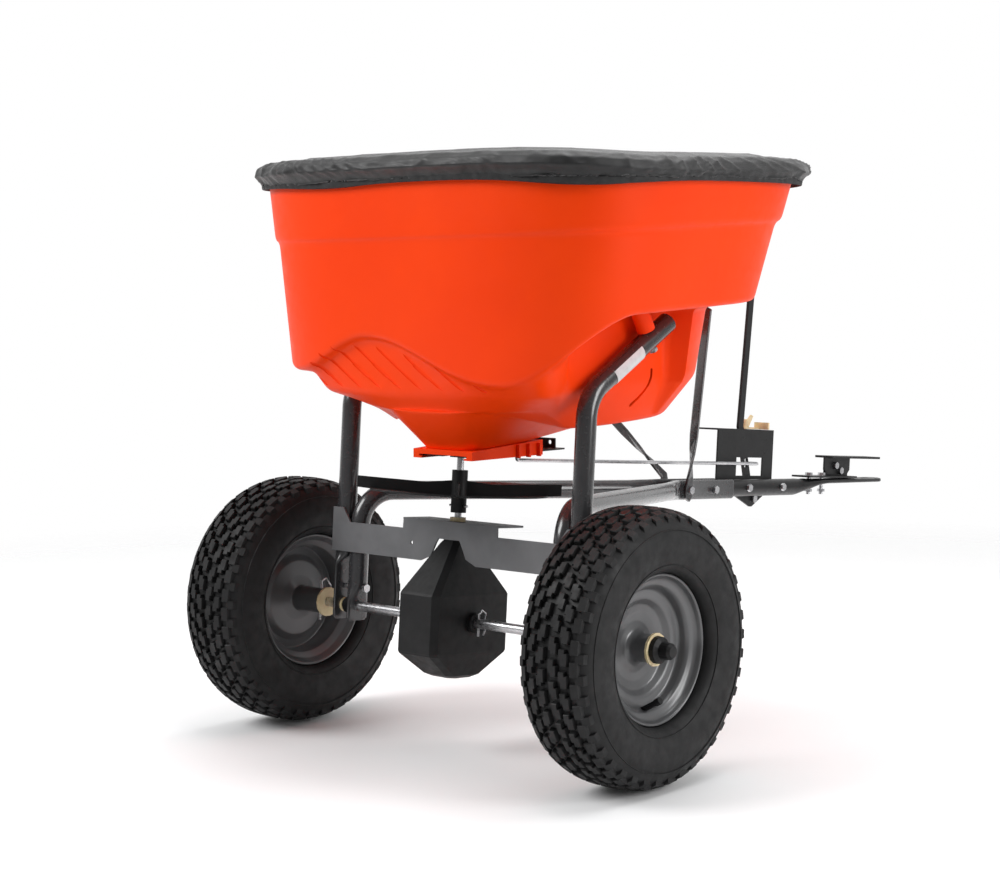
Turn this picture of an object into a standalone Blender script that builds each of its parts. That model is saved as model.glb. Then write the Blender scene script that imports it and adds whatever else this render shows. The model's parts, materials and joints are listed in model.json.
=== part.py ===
"""Tow-behind broadcast spreader: a hopper on a tubular frame, two wheels, and a ground-driven spinner.

The left wheel is pinned to the axle. A crown gear on the axle turns a pinion on the upright
shaft, and with it the spinner and the agitator. A lever on the tongue slides the shut-off plate.

Metres, +Z up, +X to the right-hand wheel, +Y towards the tractor. Two empties carry the parts:
"chassis" sits at the axle centre and has the frame's own pitch, and "hopper_seat" has the hopper's.
"""
import math

import bmesh
import bpy
from mathutils import Matrix, Vector

for old in list(bpy.data.objects):
    bpy.data.objects.remove(old, do_unlink=True)

# ---------------------------------------------------------------- driving dimensions
AXLE_HEIGHT = 0.165          # also the tyre's outer radius
AXLE_Y = -0.4263             # puts the footprint's centre on Y = 0
CHASSIS_PITCH = math.radians(-4.0)
HOPPER_PITCH = math.radians(7.65)
GATE_PITCH = math.radians(4.3)
GAP = 0.0004                 # clearance between neighbours
PLATE = 0.0025               # sheet-steel thickness

TUBE_R = 0.0127
AXLE_R = 0.00635
SHAFT_R = 0.0045
BOLT_R = 0.0032

TRACK_HALF = 0.2895
TYRE_R = 0.165
TYRE_HALF_WIDTH = 0.052
RIM_R = 0.088
RIM_HALF_WIDTH = 0.0318
HUB_R = 0.0165
HUB_BORE_R = 0.0098
HUB_OUTER = 0.026            # hub end beyond the wheel's middle plane, outer side
HUB_INNER = 0.0585           # the same on the inner side

UPRIGHT_X = 0.1995
LEG_X = 0.1735
CROSS_PLATE_Y = -0.0143      # middle of the plate's thickness, just behind the uprights
FLANGE_Z = 0.1230            # middle of the folded flange that carries the shaft bushing

BLADE_X = 0.0163             # flattened front ends of the drawbar tubes, beside the tongue
TONGUE_Z = 0.1640

RING_TEETH = 40
PINION_TEETH = 8
RING_MEAN_R = 0.0440

SPINNER_R = 0.1285
SPINNER_DISC_R = 0.1120
SPINNER_Z = 0.1560
VANE_TURN = math.radians(41.4)

# Hopper, in the seat's frame: heights and plan half-sizes of its main levels.
HOPPER_WALL = 0.0035
PLAN_POWER = 3.9             # superellipse power of the plan outline
LEDGE_PLAN = (0.2850, 0.2125, 0.1475)
RIM_FALL_Y, RIM_FALL_X = 0.0454, 0.0100      # slope of the rim's plane, forwards and to the right
OUTLET_HEIGHT = 0.2165

LEVER_X = -0.0205
LEVER_PIVOT = Vector((LEVER_X, 0.676, 0.1486))
LEVER_HALF_THICK = 0.0022
ROD_HEIGHT = 0.2025
ROD_R = 0.0025
BRACKET_X = -0.0148
BRACKET_REAR = 0.577
BRACKET_FRONT = 0.724
BRACKET_TOP = 0.2537

# ---------------------------------------------------------------- scene helpers
part_collection = bpy.data.collections.new("tow_spreader")
cutter_collection = bpy.data.collections.new("cutters")
bpy.context.scene.collection.children.link(part_collection)
bpy.context.scene.collection.children.link(cutter_collection)


def empty(name, location, pitch, parent=None):
    obj = bpy.data.objects.new(name, None)
    part_collection.objects.link(obj)
    obj.location = location
    obj.rotation_euler = (pitch, 0.0, 0.0)
    obj.parent = parent
    return obj


chassis = empty("chassis", (0.0, AXLE_Y, AXLE_HEIGHT), CHASSIS_PITCH)
hopper_seat = empty("hopper_seat", (0.0, 0.0, 0.0), HOPPER_PITCH, chassis)
gate_seat = empty("gate_seat", (0.0, 0.0, 0.2085), GATE_PITCH, chassis)
lever_axis = empty("lever_axis", LEVER_PIVOT, 0.0, chassis)


def material(name, colour, roughness, metallic=0.0):
    mat = bpy.data.materials.new(name)
    mat.use_nodes = True
    shader = mat.node_tree.nodes["Principled BSDF"]
    shader.inputs["Base Color"].default_value = (*colour, 1.0)
    shader.inputs["Roughness"].default_value = roughness
    shader.inputs["Metallic"].default_value = metallic
    mat.diffuse_color = (*colour, 1.0)
    return mat


def shade_smooth(mesh, angle=math.radians(35)):
    mesh.shade_smooth()
    mesh.set_sharp_from_angle(angle=angle)


def part(name, mesh, colour, roughness, metallic=0.0, parent=chassis):
    """One named object for one sub-part, with its own material."""
    obj = bpy.data.objects.new(name, mesh)
    mesh.name = name
    mesh.materials.clear()
    mesh.materials.append(material(name, colour, roughness, metallic))
    part_collection.objects.link(obj)
    obj.parent = parent
    shade_smooth(mesh)
    return obj


STEEL = ((0.62, 0.62, 0.63), 0.30, 1.0)
FRAME_GREY = ((0.045, 0.045, 0.048), 0.32, 0.4)
SHEET_GREY = ((0.22, 0.22, 0.22), 0.45, 0.2)
BLACK_STEEL = ((0.012, 0.012, 0.012), 0.35, 0.3)
BLACK_PLASTIC = ((0.016, 0.016, 0.017), 0.55, 0.0)
RUBBER = ((0.018, 0.018, 0.018), 0.75, 0.0)
RIM_GREY = ((0.14, 0.14, 0.145), 0.30, 0.5)
IVORY = ((0.80, 0.66, 0.42), 0.45, 0.0)
ORANGE = ((1.0, 0.062, 0.0), 0.38, 0.0)
FABRIC = ((0.014, 0.014, 0.015), 0.80, 0.0)
GEAR_STEEL = ((0.42, 0.41, 0.39), 0.45, 1.0)


# ---------------------------------------------------------------- mesh helpers
def mesh_from(bm):
    bmesh.ops.recalc_face_normals(bm, faces=bm.faces)
    mesh = bpy.data.meshes.new("shape")
    bm.to_mesh(mesh)
    bm.free()
    return mesh


def box(centre, size):
    bm = bmesh.new()
    bmesh.ops.create_cube(bm, size=1.0)
    bmesh.ops.scale(bm, vec=Vector(size), verts=bm.verts)
    bmesh.ops.translate(bm, vec=Vector(centre), verts=bm.verts)
    return mesh_from(bm)


def towards(direction):
    """Rotation that turns +Z to the given direction."""
    return Vector(direction).normalized().to_track_quat("Z", "Y").to_matrix().to_4x4()


def cylinder(start, end, radius, sides=16, end_radius=None):
    start, end = Vector(start), Vector(end)
    axis = end - start
    bm = bmesh.new()
    bmesh.ops.create_cone(bm, cap_ends=True, segments=sides, radius1=radius,
                          radius2=radius if end_radius is None else end_radius, depth=axis.length)
    bmesh.ops.transform(bm, matrix=Matrix.Translation((start + end) / 2) @ towards(axis), verts=bm.verts)
    return mesh_from(bm)


def loft(rings, caps=True):
    """Skin between closed rings that have the same number of points."""
    bm = bmesh.new()
    loops = [[bm.verts.new(point) for point in ring] for ring in rings]
    count = len(rings[0])
    for lower, upper in zip(loops, loops[1:]):
        for i in range(count):
            j = (i + 1) % count
            bm.faces.new((lower[i], lower[j], upper[j], upper[i]))
    if caps:
        bm.faces.new(loops[0])
        bm.faces.new(loops[-1])
    return mesh_from(bm)


def plate(outline, thickness, axes, origin):
    """Flat outline, extruded both ways. axes are the outline's two directions in the chassis frame."""
    curve = bpy.data.curves.new("outline", "CURVE")
    curve.dimensions = "2D"
    curve.fill_mode = "BOTH"
    curve.extrude = thickness / 2
    loops = outline if isinstance(outline[0], list) else [outline]
    for loop in loops:
        spline = curve.splines.new("POLY")
        spline.points.add(len(loop) - 1)
        for point, (u, v) in zip(spline.points, loop):
            point.co = (u, v, 0.0, 1.0)
        spline.use_cyclic_u = True
    first, second = Vector(axes[0]), Vector(axes[1])
    turn = Matrix((first, second, first.cross(second))).transposed().to_4x4()
    return mesh_of_curve(curve, Matrix.Translation(origin) @ turn)


def mesh_of_curve(curve, matrix):
    """Curves become meshes with welded caps, so that they can be cut and joined."""
    obj = bpy.data.objects.new("curve", curve)
    part_collection.objects.link(obj)
    bpy.context.view_layer.update()
    mesh = bpy.data.meshes.new_from_object(obj.evaluated_get(bpy.context.evaluated_depsgraph_get()))
    bpy.data.objects.remove(obj)
    bm = bmesh.new()
    bm.from_mesh(mesh)
    bmesh.ops.remove_doubles(bm, verts=bm.verts, dist=0.00002)
    bmesh.ops.transform(bm, matrix=matrix, verts=bm.verts)
    return mesh_from(bm)


def wire(points, radius, resolution=2):
    curve = bpy.data.curves.new("wire", "CURVE")
    curve.dimensions = "3D"
    curve.bevel_depth = radius
    curve.bevel_resolution = resolution
    curve.use_fill_caps = True
    spline = curve.splines.new("POLY")
    spline.points.add(len(points) - 1)
    for point, place in zip(spline.points, points):
        point.co = (*place, 1.0)
    return mesh_of_curve(curve, Matrix.Identity(4))


def turned(profile, steps, matrix):
    """Closed profile of (radius, height) turned about +Z by a Screw modifier, then placed."""
    bm = bmesh.new()
    verts = [bm.verts.new((radius, 0.0, height)) for radius, height in profile]
    for a, b in zip(verts, verts[1:] + verts[:1]):
        if a.co.x > 0.0 or b.co.x > 0.0:
            bm.edges.new((a, b))
    mesh = bpy.data.meshes.new("profile")
    bm.to_mesh(mesh)
    bm.free()
    obj = bpy.data.objects.new("turning", mesh)
    part_collection.objects.link(obj)
    screw = obj.modifiers.new("screw", "SCREW")
    screw.steps = screw.render_steps = steps
    screw.use_merge_vertices = True
    screw.merge_threshold = 0.00001
    bpy.context.view_layer.update()
    result = bpy.data.meshes.new_from_object(obj.evaluated_get(bpy.context.evaluated_depsgraph_get()))
    bpy.data.objects.remove(obj)
    bm = bmesh.new()
    bm.from_mesh(result)
    bmesh.ops.transform(bm, matrix=matrix, verts=bm.verts)
    return mesh_from(bm)


def combine(operation, base, tools):
    """Boolean of meshes, solved exactly, one tool after another."""
    target = bpy.data.objects.new("base", base)
    part_collection.objects.link(target)
    helpers = []
    for tool in tools:
        helper = bpy.data.objects.new("tool", tool)
        cutter_collection.objects.link(helper)
        helper.hide_render = True
        helper.display_type = "WIRE"
        boolean = target.modifiers.new("boolean", "BOOLEAN")
        boolean.operation = operation
        boolean.solver = "EXACT"
        boolean.object = helper
        helpers.append(helper)
    bpy.context.view_layer.update()
    result = bpy.data.meshes.new_from_object(target.evaluated_get(bpy.context.evaluated_depsgraph_get()))
    for obj in [target, *helpers]:
        bpy.data.objects.remove(obj)
    bm = bmesh.new()
    bm.from_mesh(result)
    bmesh.ops.remove_doubles(bm, verts=bm.verts, dist=0.000005)
    bmesh.ops.dissolve_degenerate(bm, edges=bm.edges, dist=0.000005)
    return mesh_from(bm)


def cut(base, *tools):
    return combine("DIFFERENCE", base, tools)


def join(base, *tools):
    return combine("UNION", base, tools)


def keep_inside(base, tool):
    return combine("INTERSECT", base, [tool])


def moved(mesh, offset):
    copy = mesh.copy()
    copy.transform(Matrix.Translation(offset))
    return copy


def bolt(head, tip, radius=BOLT_R, nut_at=None):
    """Hex-headed bolt from head to tip, with its nut joined on where nut_at says, as a distance."""
    head, tip = Vector(head), Vector(tip)
    along = (tip - head).normalized()
    across, tall = radius * 1.85, radius * 1.3
    body = cylinder(head - along * tall, tip, radius, 8)
    pieces = [cylinder(head - along * tall * 1.02, head, across, 6)]
    if nut_at is not None:
        nut = head + along * nut_at
        pieces.append(cylinder(nut, nut + along * tall, across, 6))
    return join(body, *pieces)


def arc_path(corners, radius, steps=5):
    """Straight runs through the corners, with each inner corner rounded by an arc."""
    path = [Vector(corners[0])]
    for before, corner, after in zip(corners, corners[1:], corners[2:]):
        before, corner, after = Vector(before), Vector(corner), Vector(after)
        into, out = (before - corner).normalized(), (after - corner).normalized()
        half = into.angle(out) / 2
        reach = radius / math.tan(half)
        centre = corner + (into + out).normalized() * radius / math.sin(half)
        first, last = corner + into * reach - centre, corner + out * reach - centre
        sweep = first.angle(last)
        axis = first.cross(last)
        for k in range(steps + 1):
            path.append(centre + Matrix.Rotation(sweep * k / steps, 3, axis) @ first)
    path.append(Vector(corners[-1]))
    return path


def section(centre, tangent, side, half_side, half_other, power=2.0, sides=12):
    """Superellipse across the tangent: half_side along the side direction, half_other across it."""
    side = (side - tangent * side.dot(tangent)).normalized()
    other = tangent.cross(side)
    ring = []
    for k in range(sides):
        angle = 2 * math.pi * (k + 0.5) / sides
        c, s = math.cos(angle), math.sin(angle)
        u = half_side * math.copysign(abs(c) ** (2 / power), c)
        v = half_other * math.copysign(abs(s) ** (2 / power), s)
        ring.append(centre + side * u + other * v)
    return ring


def swept(stations, sides=12):
    """Loft along stations of (centre, side direction, half_side, half_other, power)."""
    rings = []
    for i, (centre, side, half_side, half_other, power) in enumerate(stations):
        before, after = stations[max(i - 1, 0)][0], stations[min(i + 1, len(stations) - 1)][0]
        tangent = (Vector(after) - Vector(before)).normalized()
        rings.append(section(Vector(centre), tangent, Vector(side), half_side, half_other, power, sides))
    return loft(rings)


def superellipse(angle, half_x, half_y, power=PLAN_POWER):
    """Point of a rounded-rectangle plan outline in the direction of the angle."""
    c, s = math.cos(angle), math.sin(angle)
    reach = (abs(c / half_x) ** power + abs(s / half_y) ** power) ** (-1 / power)
    return reach * c, reach * s


def eased(t):
    t = min(max(t, 0.0), 1.0)
    return 0.5 - 0.5 * math.cos(math.pi * t)


X_AXIS, Y_AXIS, Z_AXIS = Vector((1, 0, 0)), Vector((0, 1, 0)), Vector((0, 0, 1))
SIDES = (("left", -1), ("right", 1))


# ---------------------------------------------------------------- wheels
def wheel_matrix(side):
    """Turning axis +Z becomes the outward axle direction, at the wheel's middle plane."""
    return Matrix.Translation((side * TRACK_HALF, 0, 0)) @ towards((side, 0, 0))


def tyre_profile():
    """Closed section of the tyre, open towards the rim, as (radius, height) pairs."""
    bead, wall = RIM_R + 0.0008, 0.006
    outer = [(bead, 0.0350), (0.1030, 0.0480), (0.1270, TYRE_HALF_WIDTH), (0.1450, 0.0500), (0.1595, 0.0410),
             (TYRE_R, 0.0160)]
    inner = [(bead, 0.0275), (0.1060, 0.0410), (0.1400, 0.0430), (TYRE_R - 1.6 * wall, 0.0150)]
    section_half = outer + [(r, -h) for r, h in reversed(outer)]
    return section_half + [(r, -h) for r, h in inner] + list(reversed(inner))


def rim_profile():
    """Pressed rim, disc and hub tube, outer side first; heights run outwards along the axle."""
    flange, well = RIM_HALF_WIDTH, 0.0755
    face = [(RIM_R, flange), (0.0850, flange), (0.0800, 0.0240), (0.0725, 0.0190), (0.0690, 0.0110),
            (0.0560, 0.0080), (0.0500, 0.0010), (0.0300, -0.0010), (0.0190, 0.0030),
            (HUB_R, 0.0080), (HUB_R, HUB_OUTER), (HUB_BORE_R, HUB_OUTER)]
    back = [(HUB_BORE_R, -HUB_INNER), (HUB_R, -HUB_INNER), (HUB_R, -0.0080), (0.0300, -0.0040),
            (0.0500, -0.0022), (0.0580, 0.0045), (0.0700, 0.0080), (0.0715, -0.0180),
            (0.0800, -0.0240), (0.0850, -flange), (RIM_R, -flange)]
    tyre_side = [(RIM_R, -0.0290), (0.0835, -0.0270), (0.0835, -0.0130), (well, -0.0100),
                 (well, 0.0150), (0.0835, 0.0200), (0.0835, 0.0270), (RIM_R, 0.0290)]
    return face + back + tyre_side


for side_name, side in SIDES:
    placed = wheel_matrix(side)
    tyre = turned(tyre_profile(), 28, placed)
    part("tyre_" + side_name, tyre, *RUBBER)
    rim = turned(rim_profile(), 24, placed)
    valve_hole = cylinder(placed @ Vector((0.0, -0.0793, 0.0)), placed @ Vector((0.0, -0.0600, 0.0340)), 0.0042, 8)
    drive_pin_x = side * (TRACK_HALF - HUB_INNER + 0.0120)
    if side < 0:
        pin_hole = cylinder((drive_pin_x, 0, -0.030), (drive_pin_x, 0, 0.030), 0.0022, 8)
        part("rim_" + side_name, cut(rim, valve_hole, pin_hole), *RIM_GREY)
    else:
        part("rim_" + side_name, cut(rim, valve_hole), *RIM_GREY)
    valve = join(cylinder(placed @ Vector((0.0, -0.0770, 0.0040)), placed @ Vector((0.0, -0.0600, 0.0340)), 0.0036, 8),
                 cylinder(placed @ Vector((0.0, -0.0610, 0.0322)), placed @ Vector((0.0, -0.0575, 0.0384)), 0.0045, 8))
    part("valve_" + side_name, valve, *BLACK_PLASTIC)
    for end_name, end, outwards in (("outer", HUB_OUTER, 1), ("inner", -HUB_INNER, -1)):
        flange_r, sleeve = 0.0195, 0.0080
        bush = [(HUB_BORE_R - GAP, end - outwards * sleeve), (HUB_BORE_R - GAP, end + outwards * GAP),
                (flange_r, end + outwards * GAP), (flange_r, end + outwards * 0.0035),
                (AXLE_R + GAP, end + outwards * 0.0035), (AXLE_R + GAP, end - outwards * sleeve)]
        part("wheel_bushing_%s_%s" % (side_name, end_name), turned(bush, 14, placed), *IVORY)

# ---------------------------------------------------------------- axle and what is pinned to it
AXLE_END = TRACK_HALF + HUB_OUTER + 0.0200
RING_X = -0.0160
axle = cylinder((-AXLE_END, 0, 0), (AXLE_END, 0, 0), AXLE_R, 20)
wheel_pin_x = -(TRACK_HALF - HUB_INNER + 0.0120)
COTTER_X = 0.0430
pin_holes = [cylinder((x, 0, -0.020), (x, 0, 0.020), 0.0020, 8) for x in (wheel_pin_x, COTTER_X, -COTTER_X)]
part("axle", cut(axle, *pin_holes), *STEEL)
part("wheel_drive_pin", join(cylinder((wheel_pin_x, 0, -0.026), (wheel_pin_x, 0, 0.027), 0.0015, 8),
                             wire([(wheel_pin_x, 0, 0.0262), (wheel_pin_x, 0.008, 0.030), (wheel_pin_x, 0.017, 0.020),
                                   (wheel_pin_x, 0.0195, 0.006), (wheel_pin_x, 0.0225, -0.008)], 0.0012)), *STEEL)
for side_name, side in SIDES:
    x = side * COTTER_X
    prong = cylinder((x, 0, -0.0160), (x, 0, 0.0120), 0.0014, 8)
    spring_arm = wire([(x, 0.0, 0.0115), (x, 0.005, 0.0165), (x, 0.0125, 0.0120), (x, 0.0100, 0.0030),
                       (x, 0.0135, -0.0060), (x, 0.0090, -0.0150)], 0.0012)
    part("gearbox_cotter_" + side_name, join(prong, spring_arm), *STEEL)
    hub_end = side * (TRACK_HALF + HUB_OUTER + 0.0040)
    cap = [(0.0, 0.0235), (0.0070, 0.0235), (0.0098, 0.0200), (0.0102, 0.0090), (0.0158, 0.0060), (0.0162, 0.0),
           (AXLE_R + GAP, 0.0), (AXLE_R + GAP, 0.0172), (0.0, 0.0172)]
    place = Matrix.Translation((hub_end, 0, 0)) @ towards((side, 0, 0))
    part("hub_cap_" + side_name, turned(cap, 16, place), *BLACK_PLASTIC)
    collar = [(AXLE_R + GAP, -0.0045), (0.0105, -0.0045), (0.0105, 0.0045), (AXLE_R + GAP, 0.0045)]
    part("axle_collar_" + side_name,
         turned(collar, 14, Matrix.Translation((side * 0.1862, 0, 0)) @ towards((1, 0, 0))), *BLACK_STEEL)

ring_disc = turned([(AXLE_R + GAP, -0.0060), (0.0130, -0.0060), (0.0130, -0.0020), (0.0500, -0.0020),
                    (0.0500, 0.0030), (0.0130, 0.0030), (0.0130, 0.0090), (AXLE_R + GAP, 0.0090)],
                   30, Matrix.Translation((RING_X, 0, 0)) @ towards((1, 0, 0)))
TOOTH_HALF = 0.0013
teeth = bmesh.new()
for k in range(RING_TEETH):
    tooth = bmesh.ops.create_cube(teeth, size=1.0)["verts"]
    bmesh.ops.scale(teeth, vec=(0.0070, 2 * TOOTH_HALF, 0.0090), verts=tooth)
    for vert in tooth:
        if vert.co.x > 0:
            vert.co.y *= 0.55
    bmesh.ops.translate(teeth, vec=(RING_X + 0.0060, 0, RING_MEAN_R), verts=tooth)
    turn = Matrix.Rotation(2 * math.pi * (k + 0.5) / RING_TEETH, 3, "X")
    bmesh.ops.rotate(teeth, cent=(0, 0, 0), matrix=turn, verts=tooth)
part("ring_gear", join(ring_disc, mesh_from(teeth)), *GEAR_STEEL)

# ---------------------------------------------------------------- gearbox
GEARBOX_LEVELS = (            # height, half length along X, half length along Y
    (-0.0705, 0.0200, 0.0200), (-0.0665, 0.0260, 0.0300), (-0.0400, 0.0335, 0.0685), (-0.0370, 0.0340, 0.0700),
    (0.0340, 0.0340, 0.0700), (0.0370, 0.0335, 0.0680), (0.0965, 0.0165, 0.0190), (0.1010, 0.0130, 0.0150))


def gearbox_form(inset, extra_x=0.0):
    """Double wedge with cut corners; inset makes the cavity's form."""
    rings = []
    for height, half_x, half_y in GEARBOX_LEVELS:
        hx, hy = half_x - inset + extra_x, half_y - inset
        corner = min(0.0075, 0.4 * min(hx, hy))
        z = height - math.copysign(inset * 0.6, height) if abs(height) > 0.05 else height
        rings.append([Vector((sx * x, sy * y, z)) for sx, sy, x, y in (
            (1, -1, hx - corner, hy), (1, -1, hx, hy - corner), (1, 1, hx, hy - corner), (1, 1, hx - corner, hy),
            (-1, 1, hx - corner, hy), (-1, 1, hx, hy - corner), (-1, -1, hx, hy - corner), (-1, -1, hx - corner, hy))])
    return loft(rings)


COVER_SPLIT = -0.0275
axle_bore = cylinder((-0.06, 0, 0), (0.06, 0, 0), AXLE_R + 0.0006, 20)
shaft_bore = cylinder((0, 0, 0.08), (0, 0, 0.12), SHAFT_R + 0.0006, 16)
boss = cylinder((0.030, 0, 0), (0.0400, 0, 0), 0.0125, 20)
cover_boss = cylinder((-0.030, 0, 0), (-0.0400, 0, 0), 0.0125, 20)
keep_right = box((0.05 + COVER_SPLIT + GAP, 0, 0.015), (0.1, 0.2, 0.3))
keep_left = box((-0.05 + COVER_SPLIT, 0, 0.015), (0.1, 0.2, 0.3))
cavity = keep_inside(gearbox_form(0.0040), box((-0.0025, 0, 0.015), (0.0640, 0.2, 0.3)))
housing = cut(keep_inside(join(gearbox_form(0.0), boss), keep_right), cavity, axle_bore, shaft_bore)
shaft_seat = box((0.0130, 0, 0.0298), (0.0380, 0.0160, 0.0056))
housing = join(housing, shaft_seat)
part("gearbox_housing", housing, *BLACK_PLASTIC)
cover_cavity = keep_inside(gearbox_form(0.0055), box((-0.0200, 0, 0.015), (0.0210, 0.2, 0.3)))
cover_plate = cut(keep_inside(join(gearbox_form(0.0), cover_boss), keep_left), cover_cavity, axle_bore, shaft_bore)
part("gearbox_cover", cover_plate, *BLACK_PLASTIC)

# ---------------------------------------------------------------- spinner shaft and what it turns
PINION_HEIGHT = 0.0425
SHAFT_TOP = 0.2900
SPINNER_PIN_Z = SPINNER_Z - 0.0120
spinner_pin_hole = cylinder((-0.02, 0, SPINNER_PIN_Z), (0.02, 0, SPINNER_PIN_Z), 0.0019, 8)
shaft = cylinder((0, 0, 0.0330), (0, 0, SHAFT_TOP), SHAFT_R, 16)
part("spinner_shaft", cut(shaft, spinner_pin_hole), *STEEL)


def pinion_outline():
    root, tip, outline = 0.0058, 0.0085, []
    for k in range(PINION_TEETH):
        middle = 2 * math.pi * k / PINION_TEETH
        for radius, offset in ((root, -0.26), (tip, -0.10), (tip, 0.10), (root, 0.26)):
            outline.append((radius * math.cos(middle + offset), radius * math.sin(middle + offset)))
    return outline


pinion = plate(pinion_outline(), 0.0110, (X_AXIS, Y_AXIS), (0, 0, PINION_HEIGHT))
part("pinion", cut(pinion, cylinder((0, 0, 0.02), (0, 0, 0.06), SHAFT_R + GAP, 16)), *GEAR_STEEL)


def spinner_hub_and_disc():
    rise = 0.0060
    disc = [(SHAFT_R + GAP, -0.0205), (0.0098, -0.0205), (0.0098, -0.0022), (SPINNER_DISC_R, rise - 0.0022),
            (SPINNER_DISC_R, rise), (0.0100, 0.0), (0.0100, 0.0330), (SHAFT_R + GAP, 0.0330)]
    return turned(list(reversed(disc)), 32, Matrix.Translation((0, 0, SPINNER_Z)))


def vane(angle):
    base = [(0.0070, -0.0012), (0.0420, 0.0006), (0.0980, 0.0034), (SPINNER_R, 0.0062)]
    top = [(SPINNER_R, 0.0205), (0.0980, 0.0190), (0.0420, 0.0165), (0.0070, 0.0200)]
    along = Vector((math.cos(angle), math.sin(angle), 0))
    return plate(base + top, 0.0030, (along, Z_AXIS), (0, 0, SPINNER_Z))


vanes = [vane(VANE_TURN + k * math.pi / 2) for k in range(4)]
spinner = join(spinner_hub_and_disc(), *vanes)
spinner = cut(spinner, cylinder((0, 0, 0.10), (0, 0, 0.22), SHAFT_R + GAP, 24), spinner_pin_hole)
part("spinner", spinner, *BLACK_PLASTIC)
part("spinner_pin", cylinder((-0.0150, 0, SPINNER_PIN_Z), (0.0150, 0, SPINNER_PIN_Z), 0.0015, 8), *STEEL)

agitator_hub = turned([(SHAFT_R + GAP, 0.0), (SHAFT_R + GAP, 0.0130), (0.0090, 0.0130), (0.0090, 0.0)],
                      16, Matrix.Translation((0, 0, SHAFT_TOP - 0.0150)))
agitator_arms = wire([(-0.0300, 0, SHAFT_TOP - 0.0040), (-0.0180, 0, SHAFT_TOP - 0.0100),
                      (-0.0075, 0, SHAFT_TOP - 0.0085)], 0.0016)
other_arm = wire([(0.0075, 0, SHAFT_TOP - 0.0085), (0.0180, 0, SHAFT_TOP - 0.0100),
                  (0.0320, 0, SHAFT_TOP + 0.0040)], 0.0016)
part("agitator", join(agitator_hub, agitator_arms, other_arm), *STEEL)

# ---------------------------------------------------------------- cross plate and shaft bushing
PLATE_END, PLATE_LOW, PLATE_HIGH = 0.2095, 0.0716, 0.1105
EAR_HIGH, EAR_IN, EAR_OUT = 0.1290, 0.1910, 0.1770
NOTCH = [(0.0470, PLATE_LOW), (0.0300, 0.0790), (0.0215, 0.0960), (0.0180, 0.1015)]


def cross_plate():
    right = [*NOTCH[::-1], (PLATE_END, PLATE_LOW), (PLATE_END, EAR_HIGH), (EAR_IN, EAR_HIGH),
             (EAR_OUT, PLATE_HIGH), (0.0805, PLATE_HIGH), (0.0800, FLANGE_Z - PLATE / 2 + 0.0010)]
    outline = right + [(-x, z) for x, z in reversed(right)]
    web = plate(outline, PLATE, (X_AXIS, Z_AXIS), (0, CROSS_PLATE_Y, 0))
    shelf_front = 0.0330
    rear = CROSS_PLATE_Y - PLATE / 2
    shelf = box((0, (rear + shelf_front) / 2, FLANGE_Z), (0.1610, shelf_front - rear, PLATE))
    shaft_hole = cylinder((0, 0, FLANGE_Z - 0.01), (0, 0, FLANGE_Z + 0.01), 0.0075, 16)
    drain = cylinder((-0.064, CROSS_PLATE_Y - 0.01, 0.093), (-0.064, CROSS_PLATE_Y + 0.01, 0.093), 0.0025, 10)
    return cut(join(web, shelf), shaft_hole, drain)


part("cross_plate", cross_plate(), *SHEET_GREY)
bushing = [(SHAFT_R + GAP, -0.0070), (SHAFT_R + GAP, 0.0065), (0.0100, 0.0065), (0.0100, PLATE / 2 + GAP),
           (0.0071, PLATE / 2 + GAP), (0.0071, -0.0070)]
part("shaft_bushing", turned(bushing, 16, Matrix.Translation((0, 0, FLANGE_Z))), *IVORY)

# ---------------------------------------------------------------- frame tubes
UPRIGHT_TOP = Vector((0.2030, 0.1460, 0.3850))
FLAT_HALF, FLAT_WIDE = 0.0025, 0.0175


def upright(side):
    x = side * UPRIGHT_X
    top = Vector((side * UPRIGHT_TOP.x, UPRIGHT_TOP.y, UPRIGHT_TOP.z))
    path = arc_path([(x, 0, 0.0700), (x, 0, 0.2880), top], 0.050, 5)
    ends = [((x, 0, -0.0190), X_AXIS, FLAT_HALF, FLAT_WIDE, 4), ((x, 0, 0.0520), X_AXIS, FLAT_HALF, FLAT_WIDE, 4)]
    body = [(p, X_AXIS, TUBE_R, TUBE_R, 2) for p in path]
    tube = swept(ends + body)
    axle_hole = cylinder((x - 0.01, 0, 0), (x + 0.01, 0, 0), 0.0099, 20)
    leg_bolt_hole = cylinder((x - 0.02, 0, 0.0245), (x + 0.02, 0, 0.0245), BOLT_R + GAP, 10)
    return cut(tube, axle_hole, leg_bolt_hole)


def drawbar_tube(side):
    """Flat foot at the axle, up and round a bend, then forward to a flat blade beside the tongue."""
    leg, blade = side * LEG_X, side * BLADE_X
    corner, nose = Vector((leg, 0, 0.1520)), Vector((blade, 0.4400, TONGUE_Z))
    run = (nose - corner).normalized()
    stations = [((leg, 0, -0.0190), X_AXIS, FLAT_HALF, FLAT_WIDE, 4), ((leg, 0, 0.0040), X_AXIS, FLAT_HALF, FLAT_WIDE, 4)]
    for place in arc_path([(leg, 0, 0.0300), corner, nose], 0.046, 5)[:-1]:
        stations.append((place, X_AXIS, TUBE_R, TUBE_R, 2))
    stations += [(nose - run * 0.055, X_AXIS, TUBE_R, TUBE_R, 2), (nose - run * 0.028, X_AXIS, 0.0092, 0.0133, 2.2),
                 ((blade, 0.4430, TONGUE_Z), X_AXIS, 0.0030, 0.0140, 4),
                 ((blade, 0.5762, TONGUE_Z + 0.0015), X_AXIS, 0.0030, 0.0140, 4)]
    return swept(stations)


CLAMP_BOLTS = ((0.4600, 0.0), (0.5275, 0.0005))          # along Y, and above the tongue's axis height
BRACKET_BOLTS = ((0.6236, 0.0028), (0.7140, 0.0040))


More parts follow.
